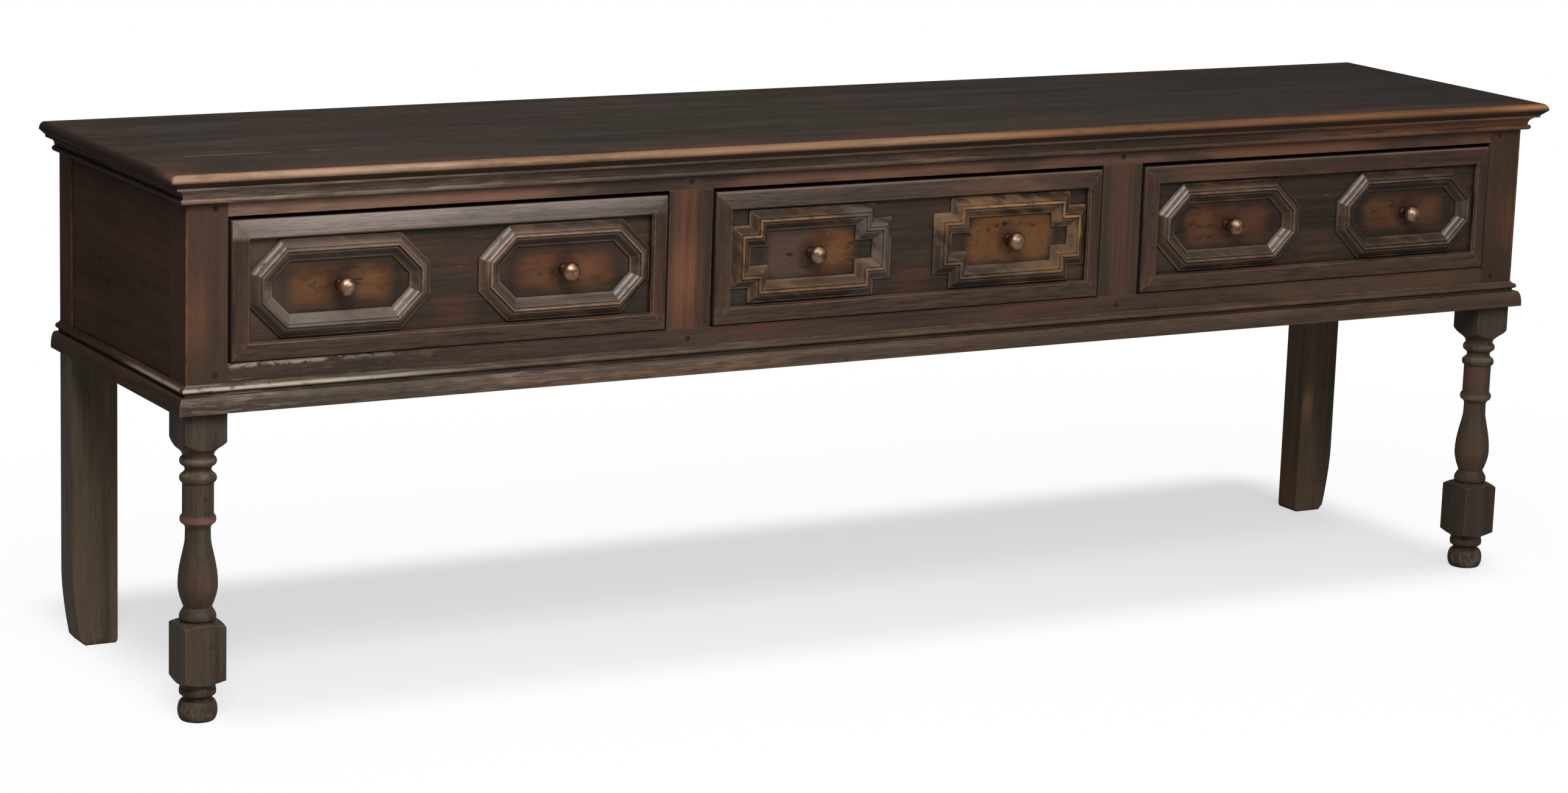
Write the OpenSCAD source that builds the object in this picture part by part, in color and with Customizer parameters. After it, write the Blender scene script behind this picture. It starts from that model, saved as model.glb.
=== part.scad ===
// A long, low oak dresser base with three side-hung drawers, turned front legs and
// plain rear posts. The frame is mortised, tenoned and pegged, the drawers are dovetailed,
// and their fronts carry mitred geometric mouldings. +Z is up and the front faces -Y.
// The origin is on the floor, under the middle of the bounding box.

/* [Overall] */
// Length of the framed carcass over the posts
carcass_len = 2372; // [2000:1:2700]
// Depth of the framed carcass over the posts
carcass_depth = 510; // [450:1:580]
// Height from the floor to the underside of the carcass
leg_clear = 457; // [430:1:540]
// Height of the drawer openings
opening_h = 210; // [190:1:240]

/* [Top] */
// Thickness of the top boards
top_thick = 20; // [18:0.5:28]
// Overhang of the top past the frame, at the front and the ends
top_overhang = 32; // [28:0.5:40]
// Depth of the front board of the top, from its moulded edge
front_board_depth = 162; // [120:1:230]
// Gap between the two boards of the top
board_gap = 0.6; // [0.3:0.1:1.5]
// Height of the nose of the moulded edge above the underside
nose_height = 9; // [7:0.5:11]
// Width of the rounding above the nose
thumb_w = 9; // [6:0.5:12]

/* [Frame] */
// Side of the square front posts
post_w = 63; // [58:0.5:76]
// Width of the rear posts
rear_post_w = 72; // [64:0.5:84]
// Depth of the rear posts
rear_post_d = 50; // [44:0.5:60]
// Taper of the outer side of each rear foot
rear_foot_taper = 12; // [6:1:20]
// Height of that taper
rear_taper_h = 110; // [60:1:160]
// Width of the muntins between the drawers
muntin_w = 74; // [66:0.5:90]
// Thickness of the front rails and muntins
rail_d = 32; // [29:0.5:40]
// Height of the front top rail
top_rail_h = 46; // [44:0.5:60]
// Height of the front bottom rail
bottom_rail_h = 68; // [62:0.5:80]
// Scratched chamfer along the upper arris of the bottom rail
rail_chamfer = 4; // [2:0.5:6]
// Thickness of the frame tenons
tenon_t = 10; // [8:0.5:12]
// Length of the tenons of the long rails
tenon_l = 38; // [30:0.5:44]
// Length of the tenons of the muntins
muntin_tenon_l = 30; // [20:0.5:34]
// Shoulder left above, below and beside each tenon
tenon_shoulder = 7; // [5:0.5:9]
// Clearance round each tenon, tongue and housed end
joint_gap = 0.2; // [0.1:0.05:0.4]
// Radius of the oak pegs
peg_r = 4; // [3:0.25:5]
// Clearance round each peg and nail
peg_gap = 0.1; // [0.05:0.05:0.25]

/* [Ends and back] */
// Thickness of the end boards
end_t = 20; // [18:0.5:26]
// Distance that the end boards lie inside the outer face of the posts
end_inset = 2; // [1:0.5:4]
// Length of the tongues of the end boards
tongue_l = 14; // [10:0.5:18]
// Thickness of the back boards
back_board_t = 12; // [10:0.5:16]
// Thickness of the rear rails
rear_rail_d = 28; // [24:0.5:34]
// Width of the rear muntins
rear_muntin_w = 60; // [52:0.5:70]

/* [Runners] */
// Thickness of the bearers behind the muntins
bearer_t = 50; // [40:0.5:58]
// Height of the bearers
bearer_h = 64; // [50:0.5:80]
// Height of the runners
runner_h = 20; // [14:0.5:26]
// Depth that each runner reaches into a drawer side
runner_reach = 9; // [7:0.25:10]
// Running clearance above, below and beside each runner
runner_gap = 0.5; // [0.3:0.1:1]

/* [Mouldings] */
// Height of the bed moulding under the top
bed_h = 25; // [22:0.5:30]
// Projection of the upper fillet of the bed moulding
bed_top_proj = 22; // [18:0.5:25]
// Height of that fillet
bed_fillet_h = 3.5; // [2:0.5:6]
// Projection of the bead along the foot of the bed moulding
bed_foot_proj = 12; // [9:0.5:14]
// Height of that bead
bed_bead_h = 8.5; // [6:0.5:11]
// Height of the base moulding
base_h = 41; // [36:0.5:46]
// Projection of the base moulding
base_proj = 15; // [12:0.5:20]
// Height of the fillet along the foot of the base moulding
base_fillet_h = 5; // [3:0.5:8]
// Height of the bead near the upper edge of the base moulding
base_bead_h = 9; // [7:0.5:11]
// Height of the quirk under that bead
base_quirk_h = 4; // [2:0.5:6]
// Height of the sloping edge above that bead
base_cap_h = 3; // [2:0.5:4]
// Gap at each mitre
mitre_gap = 0.3; // [0.2:0.1:0.6]

/* [Turned legs] */
// Length of the square post left below the carcass
leg_drop = 40; // [32:1:52]
// Length of the plain column between the rings
column_h = 46; // [38:1:54]
// Height of the square block near the foot
lower_block_h = 80; // [66:1:92]
// Height of the turned foot under that block
foot_h = 62; // [56:1:76]
// Radius of the plain column
column_r = 22.7; // [20:0.1:25]
// Radius of the rings
ring_r = 26.8; // [25:0.1:28]
// Radius of the neck of the baluster
neck_r = 18.4; // [16:0.1:20]
// Radius of the belly of the baluster
belly_r = 28.8; // [26:0.1:29]
// Radius of the foot
foot_r = 28.8; // [26:0.1:29]

/* [Drawers] */
// Gap at each side of a drawer front
side_gap = 3; // [2:0.25:4]
// Gap above a drawer front
top_gap = 6; // [3:0.25:8]
// Gap under a drawer front
bottom_gap = 2; // [1:0.25:3]
// Distance that the drawer fronts lie behind the face of the frame
drawer_setback = 1; // [0:0.25:3]
// Thickness of the drawer fronts
front_t = 24; // [22:0.5:27]
// Thickness of the drawer sides
side_t = 20; // [18:0.5:24]
// Distance that the drawer sides stop below the upper edge of the front
side_drop = 12; // [6:0.5:20]
// Thickness of the drawer backs
back_t = 15; // [12:0.5:20]
// Thickness of the drawer bottoms
bottom_t = 9; // [7:0.5:12]
// Width of the rebates that hold the bottom
rebate_w = 9; // [6:0.5:11]
// Length of the lapped dovetails into the front
lap_l = 15; // [11:0.5:17]
// Tails on each corner of a drawer
tail_count = 3; // [2:1:4]
// Flare of each side of a tail
tail_flare = 4; // [2:0.5:5]
// Clearance round each tail
tail_gap = 0.15; // [0.1:0.05:0.3]
// Gap between the closed drawer and the rear posts
rear_clearance = 6; // [3:0.5:12]

/* [Drawer mouldings] */
// Width of the bevelled border
border_w = 28; // [24:0.5:32]
// Height of the border above the ground
border_rise = 11; // [8:0.5:14]
// Margin between the border and the panel frames
panel_margin = 0.75; // [0.5:0.25:4]
// Plain ground between the two frames of a drawer
panel_spacing = 76; // [60:1:110]
// Width of the frame moulding outside its ridge
frame_out = 17; // [14:0.5:19]
// Width of the frame moulding inside its ridge
frame_in = 17; // [14:0.5:19]
// Height of the ridge above the ground
frame_rise = 14.6; // [12:0.2:17]
// Length cut from each corner of an octagon
cant = 37; // [28:0.5:42]
// Width of the notch at each corner of the centre drawer's frames
notch_w = 30; // [27:0.5:36]
// Height of that notch
notch_h = 23.5; // [21:0.5:26]

/* [Knobs] */
// Largest radius of a knob
knob_r = 14.5; // [12:0.25:17]
// Distance that a knob stands out from the ground
knob_reach = 35; // [30:0.5:42]
// Radius of the flange against the wood
flange_r = 9; // [7:0.25:11]
// Radius of the shank through the drawer front
shank_r = 3.2; // [2.5:0.1:4]
// Width of the square nut inside the drawer
nut_w = 13; // [11:0.5:16]

/* [Hidden] */

$fn = 48;
eps = 0.01;

// Colours of the wood and the metal
oak_top = "#40362f";
oak_frame = "#3d322a";
oak_red = "#4d3026";
oak_inside = "#8a6a48";
oak_moulding = "#493c32";
peg_colour = "#2e2520";
knob_colour = "#9a7350";
iron_colour = "#33302e";

// Frame
half_len = carcass_len / 2;
frame_half = half_len - post_w;
rear_half = half_len - rear_post_w;
opening_z0 = leg_clear + bottom_rail_h;
opening_z1 = opening_z0 + opening_h;
carcass_z = opening_z1 + top_rail_h;
top_z = carcass_z + top_thick;
opening_w = (2 * frame_half - 2 * muntin_w) / 3;
bay_pitch = opening_w + muntin_w;
muntin_x = bay_pitch / 2;
tenon_y = (rail_d - tenon_t) / 2;
front_reach = max(top_overhang, knob_reach - drawer_setback);
shift_y = (front_reach - carcass_depth) / 2;

// Ends and back
tongue_t = end_t / 2;
end_y0 = post_w;
end_y1 = carcass_depth - rear_post_d;
back_y = carcass_depth - back_board_t;
rear_rail_y = back_y - rear_rail_d;
rear_rail_h = top_rail_h;
rear_tenon_y = rear_rail_y + (rear_rail_d - tenon_t) / 2;
back_mid_z = (leg_clear + carcass_z) / 2;
stub_l = 12;
stub_w = bearer_t / 3;

// Pegs and nails
peg_in = tenon_l / 2;
peg_len = tenon_y + tenon_t + 6;
peg_above = 12;
peg_below = 16;
peg_foot = 15;
end_peg_inset = 55;
top_peg_len = 2.25 * top_thick;
nail_r = 1.6;
nail_head_r = 4;
nail_head_t = 1.5;
nail_tip_gap = 2;
nail_len = back_board_t + rear_rail_d - stub_l - nail_tip_gap;
nail_inset = 22;
nail_end_inset = 30;

// Drawers
front_w = opening_w - 2 * side_gap;
front_h = opening_h - top_gap - bottom_gap;
drawer_z0 = opening_z0 + bottom_gap;
drawer_mid_z = drawer_z0 + front_h / 2;
box_inset = 1;
box_half = front_w / 2 - box_inset;
side_h = front_h - side_drop;
front_y1 = drawer_setback + front_t;
box_y1 = carcass_depth - rear_post_d - rear_clearance;
bottom_boards = 4;
board_seam = 0.5;

// Runners
groove_z = drawer_z0 + side_h / 2;
box_clear = side_gap + box_inset;
runner_nose = box_clear + runner_reach;
runner_y0 = front_y1 + runner_gap;

// Drawer mouldings
field_half_w = front_w / 2 - border_w - panel_margin;
field_half_h = front_h / 2 - border_w - 2 * panel_margin;
ridge_half_w = (2 * field_half_w - panel_spacing) / 4 - frame_out;
ridge_half_h = field_half_h - frame_out;
panel_x = panel_spacing / 2 + frame_out + ridge_half_w;
ridge_bead = 2.6;

// Turned legs: heights of the features, from the carcass down
pommel_h = 26;
post_end = leg_clear - leg_drop;
bead_1 = post_end - pommel_h - 3;
reel_z = bead_1 - 12;
bead_2 = reel_z - 13;
column_z = bead_2 - 14;
bead_3 = column_z - column_h;
neck_z = bead_3 - 19;
block_z1 = foot_h + lower_block_h;
collar_z = block_z1 + 26;
pommel_r = post_w * sqrt(2) / 2 + 1.5;
neck_h = 0.16 * (neck_z - collar_z);
belly_z = collar_z + 0.29 * (neck_z - collar_z);
waist_r = neck_r + 2;
foot_shoulder_h = 11;
foot_ring_h = 10;
foot_ring_z = foot_h - foot_shoulder_h - 2;
foot_ball_z = foot_ring_z - foot_ring_h - 8;

// Profiles are lists of [radius or distance, height], each curve leaving out its first point
function ease(t) = (1 - cos(180 * t)) / 2;
function bead(r, bulge, z0, z1, n = 8) = [
    for (i = [1:n]) let (a = 180 * i / n)
        [r + bulge * sin(a), (z0 + z1) / 2 + (z0 - z1) / 2 * cos(a)]
];
function cyma(r0, z0, r1, z1, n = 5) = [
    for (i = [1:n]) [r0 + (r1 - r0) * ease(i / n), z0 + (z1 - z0) * i / n]
];
function hollow(r0, z0, r1, z1, n = 6) = [
    for (i = [1:n]) [r1 + (r0 - r1) * (1 - sin(90 * i / n)), z0 + (z1 - z0) * i / n]
];
function swell(r0, z0, r1, z1, n = 7) = [
    for (i = [1:n]) [r0 + (r1 - r0) * pow(sin(90 * i / n), 1.2), z0 + (z1 - z0) * i / n]
];
function fall(r0, z0, r1, z1, n = 7) = [
    for (i = [1:n]) [r1 + (r0 - r1) * cos(90 * i / n), z0 + (z1 - z0) * i / n]
];

leg_profile = concat(
    [[0, carcass_z + 1], [pommel_r, carcass_z + 1], [pommel_r, post_end]],
    cyma(pommel_r, post_end, column_r, post_end - pommel_h, 7),
    [[column_r, bead_1]],
    bead(column_r, ring_r - column_r, bead_1, reel_z),
    hollow(column_r, reel_z, neck_r + 0.8, reel_z - 6, 4),
    [[neck_r + 0.8, reel_z - 8]],
    cyma(neck_r + 0.8, reel_z - 8, column_r, bead_2, 4),
    bead(column_r, ring_r - column_r, bead_2, bead_2 - 12),
    [[column_r, column_z], [column_r, bead_3]],
    bead(column_r, ring_r - 0.6 - column_r, bead_3, bead_3 - 12),
    hollow(column_r, bead_3 - 12, neck_r, neck_z, 4),
    [[neck_r + 0.4, neck_z - neck_h]],
    swell(neck_r + 0.4, neck_z - neck_h, belly_r, belly_z),
    fall(belly_r, belly_z, waist_r, collar_z),
    swell(waist_r, collar_z, ring_r, block_z1 + 12, 5),
    [[ring_r - 0.4, block_z1 + 8.5], [ring_r - 2.4, block_z1 + 7.5], [ring_r - 2.4, block_z1 + 6]],
    swell(ring_r - 2.4, block_z1 + 6, pommel_r, block_z1 - 3, 5),
    [[pommel_r, foot_h + 1]],
    hollow(pommel_r, foot_h + 1, ring_r - 1.2, foot_h - foot_shoulder_h),
    [[ring_r - 1.2, foot_ring_z]],
    bead(ring_r - 1.2, 1.2, foot_ring_z, foot_ring_z - foot_ring_h, 6),
    hollow(ring_r - 1.2, foot_ring_z - foot_ring_h, waist_r, foot_ball_z + 2, 5),
    [[waist_r, foot_ball_z]],
    bead(waist_r + 1.4, foot_r - waist_r - 1.4, foot_ball_z, 0, 10),
    [[0, 0]]
);

// Places children in the coordinates of the frame: x = 0 at the middle, y = 0 at its face
module in_frame() {
    translate([0, shift_y, 0]) children();
}

// A box between two corners, grown by g on all sides
module box(a, b, g = 0) {
    translate([a[0] - g, a[1] - g, a[2] - g])
        cube([b[0] - a[0] + 2 * g, b[1] - a[1] + 2 * g, b[2] - a[2] + 2 * g]);
}

// A tenon, or its mortise when g is the joint gap
module rail_tenon(s, y, z0, z1, g = 0) {
    inner = y > post_w ? rear_half : frame_half;
    x0 = s > 0 ? inner - 1 : -inner - tenon_l;
    x1 = s > 0 ? inner + tenon_l : -inner + 1;
    box([x0, y, z0 + tenon_shoulder], [x1, y + tenon_t, z1 - tenon_shoulder], g);
}

module muntin_tenons(x, y, w, g = 0) {
    half = w / 2 - tenon_shoulder * 2;
    box([x - half, y, opening_z1 - 1], [x + half, y + tenon_t, opening_z1 + muntin_tenon_l], g);
    box([x - half, y, opening_z0 - muntin_tenon_l], [x + half, y + tenon_t, opening_z0 + 1], g);
}

// The tongue at one end of an end board
module end_tongue(s, y0, y1, g = 0) {
    x = half_len - end_inset - (end_t + tongue_t) / 2;
    x0 = s > 0 ? x : -x - tongue_t;
    box([x0, y0, leg_clear], [x0 + tongue_t, y1, carcass_z + g], g);
}

// Where the pegs go: [x, z] on the front, [s, y, z] on the ends, [x, y] on the top
front_pegs = [
    for (s = [-1, 1]) each [
        [s * (frame_half + peg_in), opening_z1 + peg_above],
        [s * (frame_half + peg_in), opening_z0 - peg_below],
        [s * (frame_half + peg_in), leg_clear + peg_foot],
        [s * muntin_x, opening_z1 + peg_above],
        [s * muntin_x, opening_z0 - peg_below],
    ]
];
rear_pegs = [
    for (s = [-1, 1], z = [carcass_z - rear_rail_h / 2, leg_clear + rear_rail_h / 2])
        [s * (rear_half + peg_in), z]
];
end_pegs = [
    for (s = [-1, 1], y = [end_y0 - tongue_l / 2, end_y1 + tongue_l / 2],
         z = [leg_clear + end_peg_inset, back_mid_z, carcass_z - end_peg_inset])
        [s, y, z]
];
end_mid_x = half_len - end_inset - end_t / 2;
top_peg_places = concat(
    [for (x = [-bay_pitch, 0, bay_pitch]) [x, rail_d / 2]],
    [for (x = [-bay_pitch, 0, bay_pitch]) [x, rear_rail_y + rear_rail_d / 2]],
    [for (s = [-1, 1]) each [
        [s * (half_len - post_w / 2), post_w / 2 + 4],
        [s * (half_len - rear_post_w / 2 - 8), carcass_depth - rear_post_d / 2],
        [s * end_mid_x, carcass_depth * 0.38],
        [s * end_mid_x, carcass_depth * 0.66],
    ]]
);

module front_peg_shapes(g = 0) {
    for (p = front_pegs)
        translate([p[0], -g, p[1]]) rotate([-90, 0, 0]) cylinder(r = peg_r + g, h = peg_len + 2 * g);
    for (p = rear_pegs)
        translate([p[0], carcass_depth + g, p[1]]) rotate([90, 0, 0])
            cylinder(r = peg_r + g, h = carcass_depth - rear_rail_y + 2 * g);
}

module end_peg_shapes(g = 0) {
    for (p = end_pegs)
        translate([p[0] * (half_len + g), p[1], p[2]]) rotate([0, -90 * p[0], 0])
            cylinder(r = peg_r + g, h = end_inset + end_t + 2 * g);
}

module top_peg_shapes(g = 0) {
    for (p = top_peg_places)
        translate([p[0], p[1], top_z - top_peg_len - g]) cylinder(r = peg_r + g, h = top_peg_len + 2 * g);
}

// Nails through the back boards, into the rear rails and muntins
nail_places = concat(
    [for (x = [-rear_half + nail_end_inset, -muntin_x, muntin_x, rear_half - nail_end_inset],
          z = [leg_clear + nail_inset, carcass_z - nail_inset])
        [x, z]],
    [for (x = [-muntin_x, muntin_x], z = [back_mid_z - nail_inset, back_mid_z + nail_inset])
        [x, z]]
);

module nail_shapes(g = 0) {
    for (p = nail_places)
        translate([p[0], carcass_depth, p[1]]) rotate([90, 0, 0]) {
            translate([0, 0, -g]) cylinder(r = nail_r + g, h = nail_len + 2 * g, $fn = 24);
            translate([0, 0, -g]) cylinder(r = nail_head_r + g, h = nail_head_t + 2 * g, $fn = 24);
        }
}

// The top
module edge_waste(length) {
    linear_extrude(length) {
        polygon(concat(
            [[-1, top_thick + 1], [-1, nose_height], [0, nose_height]],
            [for (i = [1:6]) let (a = 15 * i)
                [thumb_w * (1 - cos(a)), nose_height + (top_thick - nose_height) * sin(a)]],
            [[thumb_w, top_thick + 1]]
        ));
        polygon([[-1, nose_height], [0, nose_height], [top_overhang - bed_top_proj, 0],
                 [top_overhang - bed_top_proj, -1], [-1, -1]]);
    }
}

module top_blank(y0, y1) {
    top_half = half_len + top_overhang;
    difference() {
        box([-top_half, y0, carcass_z], [top_half, y1, top_z]);
        translate([-top_half, y1 + 1, carcass_z]) rotate([90, 0, 0]) edge_waste(y1 - y0 + 2);
        translate([top_half, y0 - 1, carcass_z]) rotate([90, 0, 180]) edge_waste(y1 - y0 + 2);
        translate([-top_half - 1, -top_overhang, carcass_z]) rotate([90, 0, 90])
            edge_waste(2 * top_half + 2);
        top_peg_shapes(peg_gap);
    }
}

module top_front_board() {
    in_frame() color(oak_top) top_blank(-top_overhang, front_board_depth - top_overhang);
}

module top_rear_board() {
    in_frame() color(oak_top)
        top_blank(front_board_depth - top_overhang + board_gap, carcass_depth);
}

// The front legs, each one post from the top to the floor
module front_leg(s) {
    cx = s * (half_len - post_w / 2);
    in_frame() color(oak_frame) difference() {
        translate([cx, post_w / 2, 0]) intersection() {
            box([-post_w / 2, -post_w / 2, 0], [post_w / 2, post_w / 2, carcass_z]);
            rotate_extrude($fn = 64) polygon(leg_profile);
        }
        rail_tenon(s, tenon_y, opening_z1, carcass_z, joint_gap);
        rail_tenon(s, tenon_y, leg_clear, opening_z0, joint_gap);
        end_tongue(s, end_y0 - tongue_l, end_y0 + 1, joint_gap);
        front_peg_shapes(peg_gap);
        end_peg_shapes(peg_gap);
        top_peg_shapes(peg_gap);
    }
}

module left_front_leg() {
    front_leg(-1);
}

module right_front_leg() {
    front_leg(1);
}

// The rear legs: plain posts, with the outer side of the foot tapered and knocked off
module rear_leg(s) {
    in_frame() color(oak_frame) difference() {
        mirror([s > 0 ? 1 : 0, 0, 0]) translate([-half_len, carcass_depth, 0]) rotate([90, 0, 0])
            linear_extrude(rear_post_d) polygon([
                [0, carcass_z], [0, rear_taper_h],
                for (i = [1:6]) [rear_foot_taper * pow(i / 6, 1.6), rear_taper_h * (1 - i / 6) + 9 * i / 6],
                [rear_foot_taper + 8, 0], [rear_post_w - 3, 0], [rear_post_w, 5],
                [rear_post_w, carcass_z],
            ]);
        rail_tenon(s, rear_tenon_y, carcass_z - rear_rail_h, carcass_z, joint_gap);
        rail_tenon(s, rear_tenon_y, leg_clear, leg_clear + rear_rail_h, joint_gap);
        end_tongue(s, end_y1 - 1, end_y1 + tongue_l, joint_gap);
        front_peg_shapes(peg_gap);
        end_peg_shapes(peg_gap);
        top_peg_shapes(peg_gap);
        runner_strip(s, s, joint_gap);
    }
}

module left_rear_leg() {
    rear_leg(-1);
}

module right_rear_leg() {
    rear_leg(1);
}

// The front frame
module front_top_rail() {
    in_frame() color(oak_frame) difference() {
        union() {
            box([-frame_half, 0, opening_z1], [frame_half, rail_d, carcass_z]);
            for (s = [-1, 1]) rail_tenon(s, tenon_y, opening_z1, carcass_z);
        }
        for (s = [-1, 1]) muntin_tenons(s * muntin_x, tenon_y, muntin_w, joint_gap);
        front_peg_shapes(peg_gap);
        top_peg_shapes(peg_gap);
    }
}

module front_bottom_rail() {
    in_frame() color(oak_frame) difference() {
        union() {
            box([-frame_half, 0, leg_clear], [frame_half, rail_d, opening_z0]);
            for (s = [-1, 1]) rail_tenon(s, tenon_y, leg_clear, opening_z0);
        }
        for (s = [-1, 1]) muntin_tenons(s * muntin_x, tenon_y, muntin_w, joint_gap);
        for (i = [-1:1]) rail_chamfer_cut(i * bay_pitch);
        front_peg_shapes(peg_gap);
    }
}

// The chamfer along the bottom rail, stopped at the muntins
module rail_chamfer_cut(x) {
    translate([x + opening_w / 2, 0, opening_z0]) rotate([90, 0, -90])
        linear_extrude(opening_w) polygon([
            [-1, 1], [rail_chamfer, 1], [rail_chamfer, 0], [0, -rail_chamfer], [-1, -rail_chamfer],
        ]);
}

module muntin(s) {
    x = s * muntin_x;
    in_frame() color(oak_frame) difference() {
        union() {
            box([x - muntin_w / 2, 0, opening_z0], [x + muntin_w / 2, rail_d, opening_z1]);
            muntin_tenons(x, tenon_y, muntin_w);
        }
        bearer_stub(x, rail_d - stub_l, rail_d + 1, joint_gap);
        front_peg_shapes(peg_gap);
    }
}

module left_muntin() {
    muntin(-1);
}

module right_muntin() {
    muntin(1);
}

// The rear frame and its boards
module rear_rail(z0) {
    in_frame() color(oak_inside) difference() {
        union() {
            box([-rear_half, rear_rail_y, z0], [rear_half, back_y, z0 + rear_rail_h]);
            for (s = [-1, 1]) rail_tenon(s, rear_tenon_y, z0, z0 + rear_rail_h);
        }
        for (s = [-1, 1]) rear_muntin_tenons(s * muntin_x, joint_gap);
        front_peg_shapes(peg_gap);
        top_peg_shapes(peg_gap);
        nail_shapes(peg_gap);
    }
}

module rear_top_rail() {
    rear_rail(carcass_z - rear_rail_h);
}

module rear_bottom_rail() {
    rear_rail(leg_clear);
}

rear_muntin_z0 = leg_clear + rear_rail_h;
rear_muntin_z1 = carcass_z - rear_rail_h;

module rear_muntin_tenons(x, g = 0) {
    half = rear_muntin_w / 2 - tenon_shoulder;
    len = rear_rail_h / 2;
    box([x - half, rear_tenon_y, rear_muntin_z1 - 1],
        [x + half, rear_tenon_y + tenon_t, rear_muntin_z1 + len], g);
    box([x - half, rear_tenon_y, rear_muntin_z0 - len],
        [x + half, rear_tenon_y + tenon_t, rear_muntin_z0 + 1], g);
}

module rear_muntin(s) {
    x = s * muntin_x;
    in_frame() color(oak_inside) difference() {
        union() {
            box([x - rear_muntin_w / 2, rear_rail_y, rear_muntin_z0],
                [x + rear_muntin_w / 2, back_y, rear_muntin_z1]);
            rear_muntin_tenons(x);
        }
        bearer_stub(x, rear_rail_y - 1, rear_rail_y + stub_l, joint_gap);
        nail_shapes(peg_gap);
    }
}

module left_rear_muntin() {
    rear_muntin(-1);
}

module right_rear_muntin() {
    rear_muntin(1);
}

module back_board(z0, z1) {
    in_frame() color(oak_inside) difference() {
        box([-rear_half + joint_gap, back_y, z0], [rear_half - joint_gap, carcass_depth, z1]);
        nail_shapes(peg_gap);
    }
}

module upper_back_board() {
    back_board(back_mid_z + board_gap / 2, carcass_z);
}

module lower_back_board() {
    back_board(leg_clear, back_mid_z - board_gap / 2);
}

module end_board(s) {
    x = half_len - end_inset - end_t;
    x0 = s > 0 ? x : -x - end_t;
    in_frame() color(oak_red) difference() {
        union() {
            box([x0, end_y0, leg_clear], [x0 + end_t, end_y1, carcass_z]);
            end_tongue(s, end_y0 - tongue_l + joint_gap, end_y0 + 1);
            end_tongue(s, end_y1 - 1, end_y1 + tongue_l - joint_gap);
        }
        end_peg_shapes(peg_gap);
        top_peg_shapes(peg_gap);
    }
}

module left_end_board() {
    end_board(-1);
}

module right_end_board() {
    end_board(1);
}

// What the drawers hang on
module bearer_stub(x, y0, y1, g = 0) {
    stub_h = bearer_h - 2 * tenon_shoulder;
    box([x - stub_w / 2, y0, groove_z - stub_h / 2], [x + stub_w / 2, y1, groove_z + stub_h / 2], g);
}

module bearer(s) {
    x = s * muntin_x;
    in_frame() color(oak_inside) {
        box([x - bearer_t / 2, rail_d, groove_z - bearer_h / 2],
            [x + bearer_t / 2, rear_rail_y, groove_z + bearer_h / 2]);
        bearer_stub(x, rail_d - stub_l + joint_gap, rail_d + 1);
        bearer_stub(x, rear_rail_y - 1, rear_rail_y + stub_l - joint_gap);
    }
}

module left_bearer() {
    bearer(-1);
}

module right_bearer() {
    bearer(1);
}

// The runner on side s of bay b, from its stop behind the drawer front to the rear frame
module runner_strip(b, s, g = 0) {
    edge = b * bay_pitch + s * opening_w / 2;
    nose = edge - s * runner_nose;
    outer = b == s ? edge : edge + s * (muntin_w - bearer_t) / 2;
    z0 = groove_z - runner_h / 2;
    rear = b == s ? end_y1 + rear_post_d / 3 : rear_rail_y;
    box([min(nose, edge), runner_y0, z0], [max(nose, edge), rear, z0 + runner_h], g);
    if (b != s)
        box([min(nose, outer), rail_d + joint_gap, z0], [max(nose, outer), rear, z0 + runner_h]);
}

module runner(b, s) {
    in_frame() color(oak_inside) runner_strip(b, s);
}

module left_drawer_left_runner() {
    runner(-1, -1);
}

module left_drawer_right_runner() {
    runner(-1, 1);
}

module centre_drawer_left_runner() {
    runner(0, -1);
}

module centre_drawer_right_runner() {
    runner(0, 1);
}

module right_drawer_left_runner() {
    runner(1, -1);
}

module right_drawer_right_runner() {
    runner(1, 1);
}

// Planted mouldings, as [projection, height] from their lower inner edge
bed_bead_r = bed_bead_h / 2;
bed_cove_low = bed_foot_proj - bed_bead_r;
bed_cove_w = bed_top_proj - 1 - bed_cove_low;
bed_cove_h = bed_h - bed_fillet_h - bed_bead_h;
bed_profile = concat(
    [[0, 0], [bed_cove_low, 0]],
    bead(bed_cove_low, bed_bead_r, 0, bed_bead_h),
    [for (a = [12.5:12.5:87.5])
        [bed_cove_low + bed_cove_w * (1 - cos(a)), bed_bead_h + bed_cove_h * sin(a)]],
    [[bed_top_proj, bed_h - bed_fillet_h], [bed_top_proj, bed_h], [0, bed_h]]
);

base_ovolo_w = base_proj * 0.43;
base_quirk_p = base_proj * 0.2;
base_bead_top = base_h - base_cap_h;
base_bead_foot = base_bead_top - base_bead_h;
base_ovolo_top = base_bead_foot - base_quirk_h;
base_profile = concat(
    [[0, 0], [base_proj, 0]],
    [for (a = [0:15:90])
        [base_proj - base_ovolo_w * (1 - cos(a)),
         base_fillet_h + (base_ovolo_top - base_fillet_h) * sin(a)]],
    [[base_quirk_p, base_ovolo_top], [base_quirk_p, base_bead_foot]],
    bead(base_quirk_p, base_proj * 0.33, base_bead_foot, base_bead_top),
    [[0, base_h]]
);

// A straight run of moulding on one face of the carcass, mitred at the front corners
module carcass_moulding(profile, proj, z, side) {
    far = 2 * proj;
    in_frame() color(oak_moulding) intersection() {
        if (side == 0)
            translate([half_len + far, 0, z]) rotate([90, 0, -90])
                linear_extrude(carcass_len + 2 * far) polygon(profile);
        else
            translate([side * half_len, side > 0 ? carcass_depth : -far, z])
                rotate([90, 0, side > 0 ? 0 : 180])
                    linear_extrude(carcass_depth + far) polygon(profile);
        mitre_prism(side, far, z);
    }
}

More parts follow.
